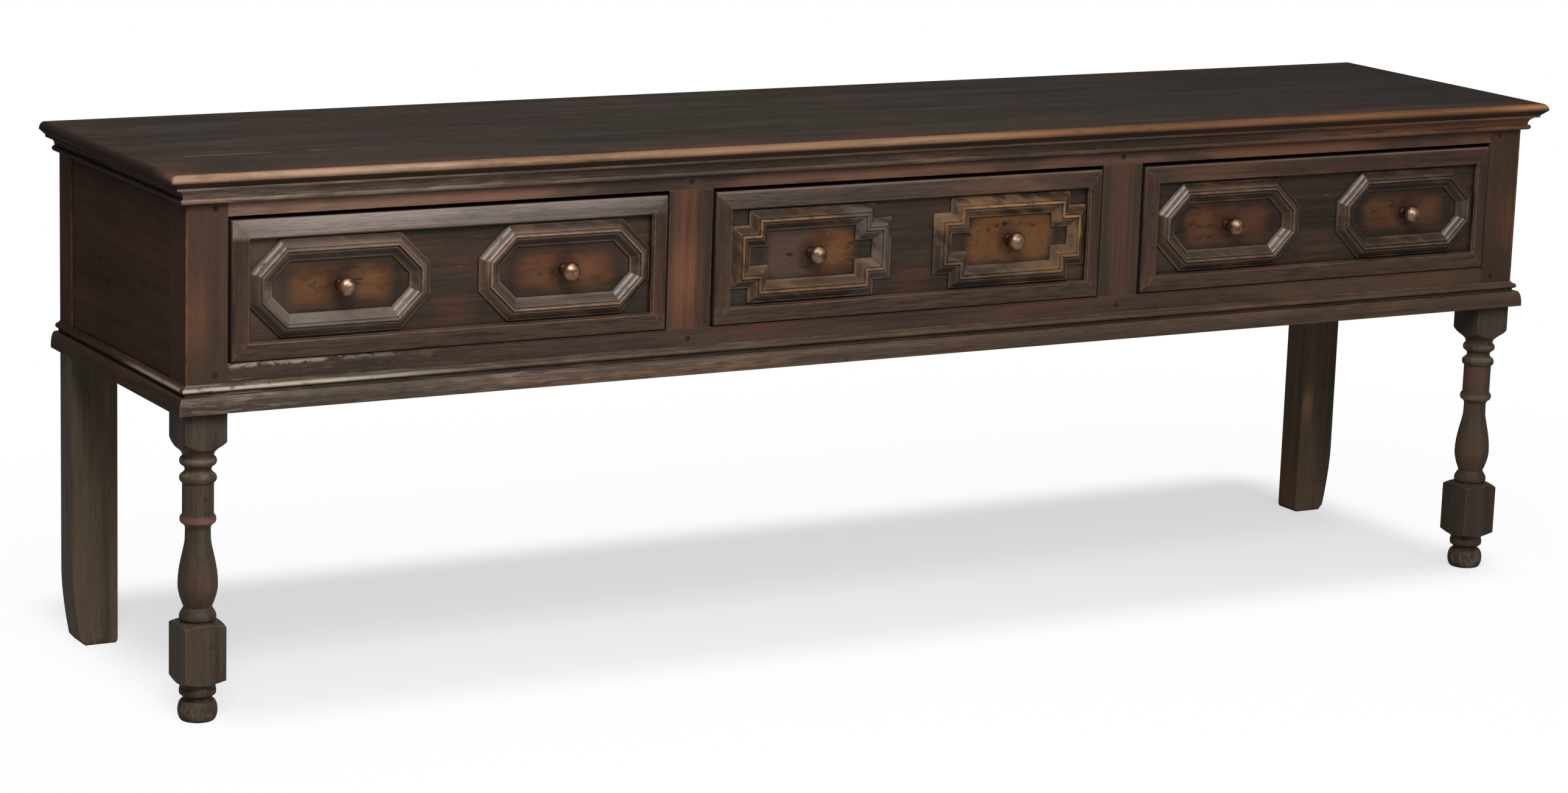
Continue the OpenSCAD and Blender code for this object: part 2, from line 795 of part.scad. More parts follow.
// The part of the plan that belongs to the front run, or to one of the two returns
module mitre_prism(side, far, z) {
    h = half_len;
    g = mitre_gap / 2;
    plan = side == 0
        ? [[-h - far + g, -far], [h + far - g, -far], [h - g, 0], [-h + g, 0]]
        : [for (p = [[h, g], [h + far, -far + g], [h + far, carcass_depth], [h, carcass_depth]])
            [side * p[0], p[1]]];
    translate([0, 0, z - 1]) linear_extrude(max(bed_h, base_h) + 2) polygon(plan);
}

module front_bed_moulding() {
    carcass_moulding(bed_profile, bed_top_proj, carcass_z - bed_h, 0);
}

module left_bed_moulding() {
    carcass_moulding(bed_profile, bed_top_proj, carcass_z - bed_h, -1);
}

module right_bed_moulding() {
    carcass_moulding(bed_profile, bed_top_proj, carcass_z - bed_h, 1);
}

module front_base_moulding() {
    carcass_moulding(base_profile, base_proj, leg_clear, 0);
}

module left_base_moulding() {
    carcass_moulding(base_profile, base_proj, leg_clear, -1);
}

module right_base_moulding() {
    carcass_moulding(base_profile, base_proj, leg_clear, 1);
}

module frame_pegs() {
    in_frame() color(peg_colour) {
        front_peg_shapes();
        end_peg_shapes();
    }
}

module top_pegs() {
    in_frame() color(peg_colour) top_peg_shapes();
}

module back_nails() {
    in_frame() color(iron_colour) nail_shapes();
}

// Drawers are drawn about the middle of their bay, at the height where they hang
module in_bay(b) {
    translate([b * bay_pitch, shift_y, 0]) children();
}

// The tails at one end of a drawer side, or their sockets when g is the tail gap
module tails(s, y_root, y_tip, g = 0) {
    pitch = side_h / tail_count;
    root = pitch * 0.5;
    x0 = s > 0 ? box_half - side_t : -box_half;
    dir = y_tip > y_root ? 1 : -1;
    for (i = [0:tail_count - 1]) {
        z = drawer_z0 + pitch * (i + 0.5);
        translate([x0 - (s > 0 ? g : 1), 0, 0]) rotate([90, 0, 90]) linear_extrude(side_t + 1 + g)
            polygon([
                [y_root - dir, z - root / 2 - g], [y_tip + dir * g, z - root / 2 - tail_flare - g],
                [y_tip + dir * g, z + root / 2 + tail_flare + g], [y_root - dir, z + root / 2 + g],
            ]);
    }
}

module drawer_front(b) {
    h = front_w / 2;
    in_bay(b) color(oak_frame) difference() {
        box([-h, drawer_setback, drawer_z0], [h, front_y1, drawer_z0 + front_h]);
        for (s = [-1, 1]) {
            tails(s, front_y1, front_y1 - lap_l, tail_gap);
            knob_place(s) cylinder(r = shank_r + 0.2, h = 3 * front_t, center = true);
        }
        box([-box_half + side_t - rebate_w, front_y1 - rebate_w, drawer_z0 - 1],
            [box_half - side_t + rebate_w, front_y1 + 1, drawer_z0 + bottom_t]);
    }
}

module drawer_side(b, s) {
    x0 = s > 0 ? box_half - side_t : -box_half;
    inner = s * (box_half - side_t);
    in_bay(b) color(oak_inside) difference() {
        union() {
            box([x0, front_y1, drawer_z0], [x0 + side_t, box_y1 - back_t, drawer_z0 + side_h]);
            intersection() {
                union() {
                    tails(s, front_y1, front_y1 - lap_l);
                    tails(s, box_y1 - back_t, box_y1);
                }
                box([x0, 0, drawer_z0], [x0 + side_t, box_y1, drawer_z0 + side_h]);
            }
        }
        runner_groove(s, front_y1);
        box([inner - rebate_w, 0, drawer_z0 - 1], [inner + rebate_w, box_y1 + 1, drawer_z0 + bottom_t]);
    }
}

module drawer_back(b) {
    in_bay(b) color(oak_inside) difference() {
        box([-box_half, box_y1 - back_t, drawer_z0 + bottom_t], [box_half, box_y1, drawer_z0 + side_h]);
        for (s = [-1, 1]) {
            tails(s, box_y1 - back_t, box_y1, tail_gap);
            runner_groove(s, box_y1 - back_t - 1);
        }
    }
}

// Room for the runner in a side, and through the end of the drawer back, from y0 backwards
module runner_groove(s, y0) {
    depth = runner_reach + runner_gap;
    half_h = runner_h / 2 + runner_gap;
    box([s > 0 ? box_half - depth : -box_half - 1, y0, groove_z - half_h],
        [s > 0 ? box_half + 1 : -box_half + depth, box_y1 + 1, groove_z + half_h]);
}

// The bottom: boards with their grain from front to back, nailed into the rebates
module drawer_bottom(b) {
    x0 = -box_half + side_t - rebate_w + joint_gap;
    w = -2 * x0 / bottom_boards;
    in_bay(b) color(oak_inside)
        for (i = [0:bottom_boards - 1])
            box([x0 + i * w + board_seam / 2, front_y1 - rebate_w + joint_gap, drawer_z0],
                [x0 + (i + 1) * w - board_seam / 2, box_y1, drawer_z0 + bottom_t - eps]);
}

// Outlines in the plane of the drawer front, as [x, z], clockwise as seen from the front
function octagon(x, w, h, c) = [
    [x - w, h - c], [x - w + c, h], [x + w - c, h], [x + w, h - c],
    [x + w, c - h], [x + w - c, -h], [x - w + c, -h], [x - w, c - h],
];
function eared(x, w, h, a, b) = [
    [x - w, h - b], [x - w + a, h - b], [x - w + a, h],
    [x + w - a, h], [x + w - a, h - b], [x + w, h - b],
    [x + w, b - h], [x + w - a, b - h], [x + w - a, -h],
    [x - w + a, -h], [x - w + a, b - h], [x - w, b - h],
];
function rectangle(w, h) = [[-w, -h], [-w, h], [w, h], [w, -h]];

// The outline moved outwards by d, corner by corner along the mitres
function normal_at(pts, i) =
    let (n = len(pts), e = pts[(i + 1) % n] - pts[i % n], l = norm(e)) [-e[1] / l, e[0] / l];
function offset_outline(pts, d) = [
    for (i = [0:len(pts) - 1])
        let (a = normal_at(pts, i + len(pts) - 1), b = normal_at(pts, i))
            pts[i] + d * (a + b) / (1 + a * b)
];

// Mitred strips round an outline; the profile is [distance outside the outline, height]
module mitred_strips(pts, profile, outer, inner) {
    n = len(pts);
    out_pts = offset_outline(pts, outer + 0.5);
    in_pts = offset_outline(pts, -inner - 0.5);
    for (i = [0:n - 1]) {
        j = (i + 1) % n;
        e = pts[j] - pts[i];
        u = e / norm(e);
        g = u * mitre_gap / 2;
        reach = 2 * (outer + inner) + 10;
        start = pts[i] - u * reach;
        intersection() {
            translate([start[0], drawer_setback, drawer_mid_z + start[1]])
                rotate([180, -90 - atan2(e[1], e[0]), 0])
                    linear_extrude(norm(e) + 2 * reach) polygon(profile);
            translate([0, front_y1, drawer_mid_z]) rotate([90, 0, 0]) linear_extrude(2 * front_t + 10)
                polygon([in_pts[i] + g, out_pts[i] + g, out_pts[j] - g, in_pts[j] - g]);
        }
    }
}

border_profile = concat(
    [[0, 0], [0, 3.4]],
    [for (i = [0:6]) let (t = i / 6)
        [-1.4 - (border_w - 4.6) * t, 4.4 + (border_rise - 4.4) * t * (1.3 - 0.3 * t)]],
    [[-border_w + 2.2, border_rise - 0.8], [-border_w + 1, border_rise - 3]],
    [[-border_w, border_rise - 4], [-border_w, 0]]
);
frame_profile = concat(
    [[frame_out, 0], [frame_out, 2.4], [frame_out - 1, 3.4], [frame_out - 2.4, 3.4]],
    [[ridge_bead + 2.2, frame_rise - 2.6], [ridge_bead + 1.2, frame_rise - 2.8]],
    [for (i = [0:6]) let (a = 30 * i) [ridge_bead * cos(a), frame_rise - 3.8 * (1 - sin(a))]],
    [[-ridge_bead - 1.2, frame_rise - 2.8], [-ridge_bead - 2.2, frame_rise - 2.6]],
    [[2.4 - frame_in, 3.4], [1 - frame_in, 3.4], [-frame_in, 2.4], [-frame_in, 0]]
);

module drawer_border(b) {
    in_bay(b) color(oak_moulding)
        mitred_strips(rectangle(front_w / 2, front_h / 2), border_profile, 0, border_w);
}

module drawer_octagons(b) {
    in_bay(b) color(oak_moulding)
        for (s = [-1, 1])
            mitred_strips(octagon(s * panel_x, ridge_half_w, ridge_half_h, cant),
                          frame_profile, frame_out, frame_in);
}

module drawer_eared_frames(b) {
    in_bay(b) color(oak_moulding)
        for (s = [-1, 1])
            mitred_strips(eared(s * panel_x, ridge_half_w, ridge_half_h, notch_w, notch_h),
                          frame_profile, frame_out, frame_in);
}

// A place on the ground at the middle of a panel, with its z axis towards the front
module knob_place(s) {
    translate([s * panel_x, drawer_setback, drawer_mid_z]) rotate([90, 0, 0]) children();
}

neck = 0.34 * knob_r;
ball_h = 0.8 * knob_r;
ball_z = knob_reach - ball_h;
knob_profile = concat(
    [[0, -front_t - 7], [shank_r, -front_t - 7], [shank_r, 0], [flange_r, 0], [flange_r, 1.6]],
    [for (i = [1:4]) let (a = 22.5 * i) [neck + (flange_r - neck - 0.5) * cos(a), 1.6 + 3.2 * sin(a)]],
    [[neck, ball_z - 0.94 * ball_h], [neck + 0.6, ball_z - 0.94 * ball_h + 0.6]],
    [for (i = [1:11]) let (a = -72 + 13 * i) [knob_r * cos(a), ball_z + ball_h * sin(a)]],
    [[0.3 * knob_r, ball_z + 0.97 * ball_h], [0, knob_reach]]
);

module drawer_knobs(b) {
    in_bay(b) color(knob_colour)
        for (s = [-1, 1]) knob_place(s) {
            rotate_extrude() polygon(knob_profile);
            difference() {
                translate([-nut_w / 2, -nut_w / 2, -front_t - 5]) cube([nut_w, nut_w, 4.5]);
                cylinder(r = shank_r + peg_gap, h = 3 * front_t, center = true);
            }
        }
}

module left_drawer_front() {
    drawer_front(-1);
}

module left_drawer_left_side() {
    drawer_side(-1, -1);
}

module left_drawer_right_side() {
    drawer_side(-1, 1);
}

module left_drawer_back() {
    drawer_back(-1);
}

module left_drawer_bottom() {
    drawer_bottom(-1);
}

module left_drawer_border() {
    drawer_border(-1);
}

module left_drawer_octagons() {
    drawer_octagons(-1);
}

module left_drawer_knobs() {
    drawer_knobs(-1);
}

module centre_drawer_front() {
    drawer_front(0);
}

module centre_drawer_left_side() {
    drawer_side(0, -1);
}

module centre_drawer_right_side() {
    drawer_side(0, 1);
}

module centre_drawer_back() {
    drawer_back(0);
}

module centre_drawer_bottom() {
    drawer_bottom(0);
}

module centre_drawer_border() {
    drawer_border(0);
}

module centre_drawer_eared_frames() {
    drawer_eared_frames(0);
}

module centre_drawer_knobs() {
    drawer_knobs(0);
}

module right_drawer_front() {
    drawer_front(1);
}

module right_drawer_left_side() {
    drawer_side(1, -1);
}

module right_drawer_right_side() {
    drawer_side(1, 1);
}

module right_drawer_back() {
    drawer_back(1);
}

module right_drawer_bottom() {
    drawer_bottom(1);
}

module right_drawer_border() {
    drawer_border(1);
}

module right_drawer_octagons() {
    drawer_octagons(1);
}

module right_drawer_knobs() {
    drawer_knobs(1);
}

top_front_board();
top_rear_board();
left_front_leg();
right_front_leg();
left_rear_leg();
right_rear_leg();
front_top_rail();
front_bottom_rail();
left_muntin();
right_muntin();
rear_top_rail();
rear_bottom_rail();
left_rear_muntin();
right_rear_muntin();
upper_back_board();
lower_back_board();
left_end_board();
right_end_board();
left_bearer();
right_bearer();
left_drawer_left_runner();
left_drawer_right_runner();
centre_drawer_left_runner();
centre_drawer_right_runner();
right_drawer_left_runner();
right_drawer_right_runner();
front_bed_moulding();
left_bed_moulding();
right_bed_moulding();
front_base_moulding();
left_base_moulding();
right_base_moulding();
frame_pegs();
top_pegs();
back_nails();
left_drawer_front();
left_drawer_left_side();
left_drawer_right_side();
left_drawer_back();
left_drawer_bottom();
left_drawer_border();
left_drawer_octagons();
left_drawer_knobs();
centre_drawer_front();
centre_drawer_left_side();
centre_drawer_right_side();
centre_drawer_back();
centre_drawer_bottom();
centre_drawer_border();
centre_drawer_eared_frames();
centre_drawer_knobs();
right_drawer_front();
right_drawer_left_side();
right_drawer_right_side();
right_drawer_back();
right_drawer_bottom();
right_drawer_border();
right_drawer_octagons();
right_drawer_knobs();
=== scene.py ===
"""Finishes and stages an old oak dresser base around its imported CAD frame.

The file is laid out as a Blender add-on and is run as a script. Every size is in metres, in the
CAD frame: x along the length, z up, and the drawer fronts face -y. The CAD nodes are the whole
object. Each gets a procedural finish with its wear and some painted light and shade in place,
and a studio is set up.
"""

import math

import bpy
from mathutils import Matrix, Vector


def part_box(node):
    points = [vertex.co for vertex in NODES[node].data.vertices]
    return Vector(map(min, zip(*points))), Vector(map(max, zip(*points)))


bl_info = {
    "name": "Old oak dresser base",
    "version": (1, 0, 0),
    "blender": (4, 5, 0),
    "location": "View3D > Sidebar > Dresser",
    "description": "Waxed and worn oak finishes, brass knobs and a studio for a dresser base",
    "category": "Object",
}

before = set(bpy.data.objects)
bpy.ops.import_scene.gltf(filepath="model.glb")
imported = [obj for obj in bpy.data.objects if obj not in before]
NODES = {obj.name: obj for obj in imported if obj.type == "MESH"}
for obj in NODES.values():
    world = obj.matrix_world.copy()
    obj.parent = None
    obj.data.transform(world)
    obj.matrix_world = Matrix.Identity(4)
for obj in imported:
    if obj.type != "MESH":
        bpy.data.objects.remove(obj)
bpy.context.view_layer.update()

DRAWERS = ("left", "centre", "right")
PHOTO_WIDTH = 2576


def tone(red, green, blue):
    """A colour written as a screen shows it, from 0 to 255, as Blender's linear values."""
    return tuple((c / 255 / 12.92 if c <= 10 else ((c / 255 + 0.055) / 1.055) ** 2.4)
                 for c in (red, green, blue))


def times(factor, colour):
    """A linear colour, darker or lighter by a factor."""
    return tuple(factor * c for c in colour)


def middle(node, axis):
    """The middle of a node's box along one axis."""
    low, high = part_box(node)
    return (low[axis] + high[axis]) / 2


def half(node, axis):
    """Half of a node's size along one axis."""
    low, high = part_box(node)
    return (high[axis] - low[axis]) / 2


# Places read from the frame
BAY_PITCH = middle("right_drawer_front", 0) - middle("centre_drawer_front", 0)
DRAWER_MID_Z = middle("centre_drawer_front", 2)
FRONT_HALF_W = half("centre_drawer_front", 0)
FRONT_HALF_H = half("centre_drawer_front", 2)
KNOB_RADIUS = half("centre_drawer_knobs", 2)
KNOB_TIP_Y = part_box("centre_drawer_knobs")[0][1]
PANEL_X = half("centre_drawer_knobs", 0) - KNOB_RADIUS
CARCASS_LOW_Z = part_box("left_end_board")[0][2]
TOP_RAIL_LOW_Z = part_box("front_top_rail")[0][2]
TOP_LOW, TOP_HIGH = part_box("top_front_board")
NOSE_Y = TOP_LOW[1]
END_X = TOP_HIGH[0]
TOP_JOINT_Y = TOP_HIGH[1]

# The applied frames, with the sizes of the part's source: from the ridge out to the edge, the
# cant of an octagon, and the notch at each corner of the centre drawer's frames
FRAME_OUT = 0.017
CANT = 0.037
NOTCH_W = 0.030
NOTCH_H = 0.0235
RIDGE_HALF_W = half("left_drawer_octagons", 0) - PANEL_X - FRAME_OUT
RIDGE_HALF_H = half("left_drawer_octagons", 2) - FRAME_OUT

# Heights of the worn places on the top and the legs, and of the painted highlights on the rails,
# the base and the upper rings of the legs
NOSE_BAND_Z = TOP_LOW[2] + 0.0155
NOSE_LIP_Z = TOP_LOW[2] + 0.0215
RAIL_CHAMFER_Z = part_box("front_bottom_rail")[1][2] - 0.003
BASE_BEAD_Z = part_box("front_base_moulding")[1][2] - 0.0075
UPPER_RINGS_Z = (0.384, 0.363)
COLUMN_Z = 0.330
RING_Z = 0.295
BALUSTER_Z = 0.205
BARE_PATCH_Z = 0.180
COLLAR_Z = 0.170
FOOT_TOP_Z = 0.060

# How much of the white background a reflection shows
REFLECTED_SHARE = 0.15
# The rectangle on the floor that is painted greyer as a shadow, with the cast shadow showing in it,
# by its middle and its half sizes
SHADOW_MID = (0.03, 0.12)
SHADOW_HALF = (1.08, 0.29)


# Properties

class OakColours(bpy.types.PropertyGroup):
    """Colours of the old oak."""

    ground: bpy.props.FloatVectorProperty(
        name="Ground", description="Waxed dark oak over most of the piece",
        default=tone(50, 39, 30), subtype="COLOR", min=0, max=1)
    # Deep is also painted as shade in corners, gaps and quirks
    deep: bpy.props.FloatVectorProperty(
        name="Deep", description="Grime in the pores and the quirks of the mouldings",
        default=tone(20, 14, 11), subtype="COLOR", min=0, max=1)
    bloom: bpy.props.FloatVectorProperty(
        name="Bloom", description="Grey-green bloom on the parts that hands never reach",
        default=tone(58, 54, 42), subtype="COLOR", min=0, max=1)
    red: bpy.props.FloatVectorProperty(
        name="Red", description="Reddish patches where the dark skin has thinned",
        default=tone(84, 48, 37), subtype="COLOR", min=0, max=1)
    warm: bpy.props.FloatVectorProperty(
        name="Warm", description="Warm brown tablets rubbed round the knobs",
        default=tone(92, 58, 31), subtype="COLOR", min=0, max=1)
    honey: bpy.props.FloatVectorProperty(
        name="Honey", description="Orange-brown wood on the rubbed edge of the top",
        default=tone(160, 106, 64), subtype="COLOR", min=0, max=1)
    rub: bpy.props.FloatVectorProperty(
        name="Rub", description="Orange-brown wood on the rubbed edges of the rails and posts",
        default=tone(122, 78, 50), subtype="COLOR", min=0, max=1)
    pale: bpy.props.FloatVectorProperty(
        name="Pale", description="Rubbed ridges and arrises",
        default=tone(134, 116, 98), subtype="COLOR", min=0, max=1)
    end: bpy.props.FloatVectorProperty(
        name="End board", description="Dark red-brown of the end boards",
        default=tone(65, 43, 32), subtype="COLOR", min=0, max=1)
    dry: bpy.props.FloatVectorProperty(
        name="Dry oak", description="Unpolished oak inside the carcass and the drawers",
        default=tone(132, 103, 74), subtype="COLOR", min=0, max=1)
    aged: bpy.props.FloatVectorProperty(
        name="Aged oak", description="Oak at the back, darkened by air and dust",
        default=tone(120, 98, 74), subtype="COLOR", min=0, max=1)


class MetalColours(bpy.types.PropertyGroup):
    """Colours of the metal pieces."""

    brass: bpy.props.FloatVectorProperty(
        name="Brass", description="Handled brass of the knobs",
        default=tone(160, 126, 104), subtype="COLOR", min=0, max=1)
    tarnish: bpy.props.FloatVectorProperty(
        name="Tarnish", description="Dark brown skin in the hollows of the knobs",
        default=tone(58, 34, 22), subtype="COLOR", min=0, max=1)
    iron: bpy.props.FloatVectorProperty(
        name="Iron", description="Hand-forged nails",
        default=tone(58, 52, 48), subtype="COLOR", min=0, max=1)


class WearSizes(bpy.types.PropertyGroup):
    """How far the wear reaches."""

    arris: bpy.props.FloatProperty(
        name="Arris", description="Radius to which hands have rounded the arrises",
        default=0.0022, min=0.0002, max=0.004, unit="LENGTH")
    # The reach of the painted shade and of the dirt in corners
    shade_and_grime: bpy.props.FloatProperty(
        name="Grime", description="How far grime spreads out of a corner",
        default=0.014, min=0.002, max=0.05, unit="LENGTH")
    tablet_half_w: bpy.props.FloatProperty(
        name="Tablet half width", description="Half the width of the rubbed tablet round a knob",
        default=0.086, min=0.04, max=0.11, unit="LENGTH")
    tablet_half_h: bpy.props.FloatProperty(
        name="Tablet half height", description="Half the height of the rubbed tablet round a knob",
        default=0.033, min=0.02, max=0.045, unit="LENGTH")


class StudioSettings(bpy.types.PropertyGroup):
    """The camera, the lamps and the light all round."""

    camera_place: bpy.props.FloatVectorProperty(
        name="Camera", description="Where the camera stands", subtype="TRANSLATION",
        default=(-3.2843, -5.5531, 1.7189))
    camera_turn: bpy.props.FloatVectorProperty(
        name="Camera turn", description="Yaw, downward pitch and roll of the camera",
        subtype="EULER", default=(0.5234, 0.2105, 0.0330))
    focal_pixels: bpy.props.FloatProperty(
        name="Focal length", description="Focal length in pixels of the photograph's full width",
        default=6774.5, min=1000, max=20000)
    key: bpy.props.FloatProperty(
        name="Key", description="Power of the large softbox at the upper left, in watts",
        default=138, min=0, max=2000)
    side: bpy.props.FloatProperty(
        name="Side", description="Power of the small softbox at the right, in watts",
        default=30, min=0, max=2000)
    top: bpy.props.FloatProperty(
        name="Top", description="Power of the softbox overhead, in watts",
        default=30, min=0, max=2000)
    world: bpy.props.FloatProperty(
        name="World", description="Strength of the light all round",
        default=0.22, min=0, max=2)


# Shader building

class Value:
    """An output socket whose arithmetic adds Math nodes."""

    def __init__(self, shader, socket):
        self.shader, self.socket = shader, socket

    def math(self, operation, *values):
        inputs = dict(enumerate(values))
        return self.shader.node("ShaderNodeMath", {"operation": operation}, inputs)

    def __add__(self, other):
        return self.math("ADD", self, other)

    def __sub__(self, other):
        return self.math("SUBTRACT", self, other)

    def __rsub__(self, other):
        return self.math("SUBTRACT", other, self)

    def __mul__(self, other):
        return self.math("MULTIPLY", self, other)

    def __truediv__(self, other):
        return self.math("DIVIDE", self, other)

    def __abs__(self):
        return self.math("ABSOLUTE", self)

    def __pow__(self, other):
        return self.math("POWER", self, other)

    __radd__ = __add__
    __rmul__ = __mul__

    def floor(self):
        return self.math("FLOOR", self)

    def least(self, other):
        return self.math("MINIMUM", self, other)

    def most(self, other):
        return self.math("MAXIMUM", self, other)

    def ramp(self, low, high):
        """0 below low and 1 above high, with a smooth rise; low may be the larger one."""
        return self.shader.node(
            "ShaderNodeMapRange", {"interpolation_type": "SMOOTHSTEP"},
            {"Value": self, "From Min": low, "From Max": high})

    def near(self, place, width):
        """1 at place, falling to 0 at width to either side."""
        return abs(self - place).ramp(width, 0)


class Shader:
    """A node tree whose nodes are added as values."""

    def __init__(self, tree):
        self.tree = tree

    def node(self, kind, settings=None, inputs=None, output=0):
        """Adds a node of any kind, its settings first, then the values or links of its sockets."""
        new = self.tree.nodes.new(kind)
        for name, value in (settings or {}).items():
            setattr(new, name, value)
        for key, value in (inputs or {}).items():
            socket = new.inputs[key]
            if isinstance(value, Value):
                self.tree.links.new(value.socket, socket)
            elif socket.type == "RGBA":
                socket.default_value = (*value, 1)
            else:
                socket.default_value = value
        return Value(self, new.outputs[output])

    def split(self, vector):
        """The x, y and z of a vector."""
        x = self.node("ShaderNodeSeparateXYZ", inputs={0: vector})
        return [Value(self, socket) for socket in x.socket.node.outputs]

    def vector(self, x, y, z):
        return self.node("ShaderNodeCombineXYZ", inputs={0: x, 1: y, 2: z})

    def mix(self, share, first, second):
        """first where share is 0 and second where it is 1, as colours."""
        return self.node("ShaderNodeMix", {"data_type": "RGBA", "clamp_factor": True},
                         {0: share, 6: first, 7: second}, output=2)

    def seen_white(self):
        """How much of the white background a ray shows: all, or some where it is a reflection."""
        camera, through, glossy = (self.node("ShaderNodeLightPath", output=f"Is {kind} Ray")
                                   for kind in ("Camera", "Transmission", "Glossy"))
        return camera + through + glossy * REFLECTED_SHARE


class Finish(Shader):
    """One procedural material, with the patterns that the finishes share."""

    def __init__(self, name, grain="X"):
        self.material = bpy.data.materials.new(name)
        self.material.use_nodes = True
        super().__init__(self.material.node_tree)
        self.surface = self.tree.nodes["Principled BSDF"]
        self.grain = "XYZ".index(grain)
        self.place = self.node("ShaderNodeTexCoord", output="Object")
        self.x, self.y, self.z = self.split(self.place)
        self.colour = self.rough = self.height = None

    def noise(self, along, across, offset=0.0, detail=2.0, rough=0.5, warp=0.0):
        """Noise with so many waves a metre along the grain and across it."""
        scale = [across] * 3
        scale[self.grain] = along
        stretched = self.node("ShaderNodeVectorMath", {"operation": "MULTIPLY_ADD"},
                              {0: self.place, 1: scale, 2: (offset, 1.7 * offset, 2.3 * offset)})
        return self.node("ShaderNodeTexNoise", inputs={
            "Vector": stretched, "Scale": 1.0, "Detail": detail, "Roughness": rough,
            "Distortion": warp})

    def round_arrises(self, radius):
        """Rounds the normal near sharp edges and gives how far it leans from the true one."""
        self.rounded = self.node("ShaderNodeBevel", {"samples": 4}, {"Radius": radius})
        true = self.node("ShaderNodeNewGeometry", output="Normal")
        return 1 - self.node("ShaderNodeVectorMath", {"operation": "DOT_PRODUCT"},
                             {0: self.rounded, 1: true}, output="Value")

    def open_air(self, reach):
        """1 in the open, less in a corner or a gap."""
        return self.node("ShaderNodeAmbientOcclusion", {"samples": 6}, {"Distance": reach},
                         output="AO")

    def paint(self, share, colour):
        """Mixes a colour in over what is there."""
        self.colour = self.mix(share, self.colour, colour)

    def done(self, specular=0.3):
        """Links the colour, the roughness and the relief, and returns the material."""
        links = self.tree.links
        links.new(self.colour.socket, self.surface.inputs["Base Color"])
        links.new(self.rough.socket, self.surface.inputs["Roughness"])
        self.surface.inputs["Specular IOR Level"].default_value = specular
        relief = self.node("ShaderNodeBump", inputs={
            "Strength": 1.0, "Distance": 0.001, "Height": self.height, "Normal": self.rounded})
        links.new(relief.socket, self.surface.inputs["Normal"])
        return self.material


def oak(name, grain, ground, colours, wear, seed, red=0.5, bloom=0.5, edge=0.8, rub=None,
        shine=0.40, place=None, worn=None, contrast=1.0):
    """Old waxed oak: figure, pores, reddish patches, bloom, chips, painted shade in corners and
    rubbed arrises.

    red, bloom and edge are the strengths of these, rub is the colour of the rubbed arrises and
    shine the roughness that varies. place may lay the pattern round a frame, and worn may keep
    the rubbing to some arrises.
    """
    f = Finish(name, grain)
    if place:
        place(f)
    # The patterns, each moved by its own offset
    f.figure = f.noise(along=1.6, across=26, offset=seed, detail=3, rough=0.6, warp=0.6)
    f.streak = f.noise(along=5, across=150, offset=seed + 3, rough=0.6)
    f.blotch = f.noise(along=4.2, across=13, offset=seed + 11, detail=3, rough=0.6)
    f.cloud = f.noise(along=2.6, across=7, offset=seed + 17)
    f.chips = f.noise(along=38, across=75, offset=seed + 23, detail=3, rough=0.7)
    f.scuff = f.noise(along=20, across=210, offset=seed + 29, detail=3, rough=0.7)
    fine = f.noise(along=14, across=620, offset=seed + 5, rough=0.6)
    pores = f.noise(along=45, across=1100, offset=seed + 7, detail=1).ramp(0.62, 0.74)
    # The wood itself
    depth = (f.figure * 0.5 + f.streak * 0.3 + f.blotch * 0.2).ramp(0.36, 0.66)
    f.colour = f.mix(depth, times(1 - 0.44 * contrast, ground), times(1 + 0.5 * contrast, ground))
    f.paint(f.blotch.ramp(0.50, 0.70) * f.streak.ramp(0.30, 0.62) * red, colours.red)
    f.paint(f.cloud.ramp(0.48, 0.68) * bloom, colours.bloom)
    f.paint(pores * 0.45, colours.deep)
    f.paint(f.chips.ramp(0.60, 0.70) * f.blotch.ramp(0.55, 0.40) * 0.6, colours.deep)
    # The wear: rubbed where hands reach, and painted shade darkening the corners and gaps
    lean = f.round_arrises(wear.arris)
    air = f.open_air(wear.shade_and_grime)
    f.handled = (f.cloud.ramp(0.66, 0.40) * 0.55 + f.blotch.ramp(0.36, 0.62) * 0.55
                 + f.scuff.ramp(0.40, 0.62) * 0.2).least(1)
    rubbed = (lean * 7 + f.handled - 0.75).ramp(0.05, 0.85) * lean.ramp(0.004, 0.03)
    rubbed = rubbed * air.ramp(0.42, 0.70)
    if worn:
        rubbed = rubbed * worn(f)
    f.paint(rubbed * (0.25 + f.chips.ramp(0.34, 0.58) * 0.75) * edge, rub or colours.pale)
    f.paint(f.scuff.ramp(0.66, 0.76) * f.handled * air.ramp(0.55, 0.8) * 0.30, colours.pale)
    # Painted shade: corners and gaps darkened by the occlusion
    f.paint((1 - air).ramp(0.10, 0.80) * 0.8, colours.deep)
    # The skin
    f.rough = shine + (0.5 - f.figure) * 0.22 + (fine - 0.5) * 0.16 + (f.cloud - 0.42) * 0.40
    f.height = (f.figure * 0.6 + f.blotch * 1.5 + f.streak * 0.40 + fine * 0.10 + f.chips * 0.25
                - pores * 0.25)
    return f


def bay_x(f):
    """x measured from the middle of the nearest drawer."""
    return f.x - (f.x / BAY_PITCH + 0.5).floor() * BAY_PITCH


def panel_place(f):
    """Distances of a point from the middle of its moulded panel, sideways and up."""
    return abs(abs(bay_x(f)) - PANEL_X), abs(f.z - DRAWER_MID_Z)


def octagon_distance(u, v):
    """How far a point lies outside the ridge of an octagon."""
    cant = (u + v - (RIDGE_HALF_W + RIDGE_HALF_H - CANT)) * math.sqrt(0.5)
    return (u - RIDGE_HALF_W).most(v - RIDGE_HALF_H).most(cant)


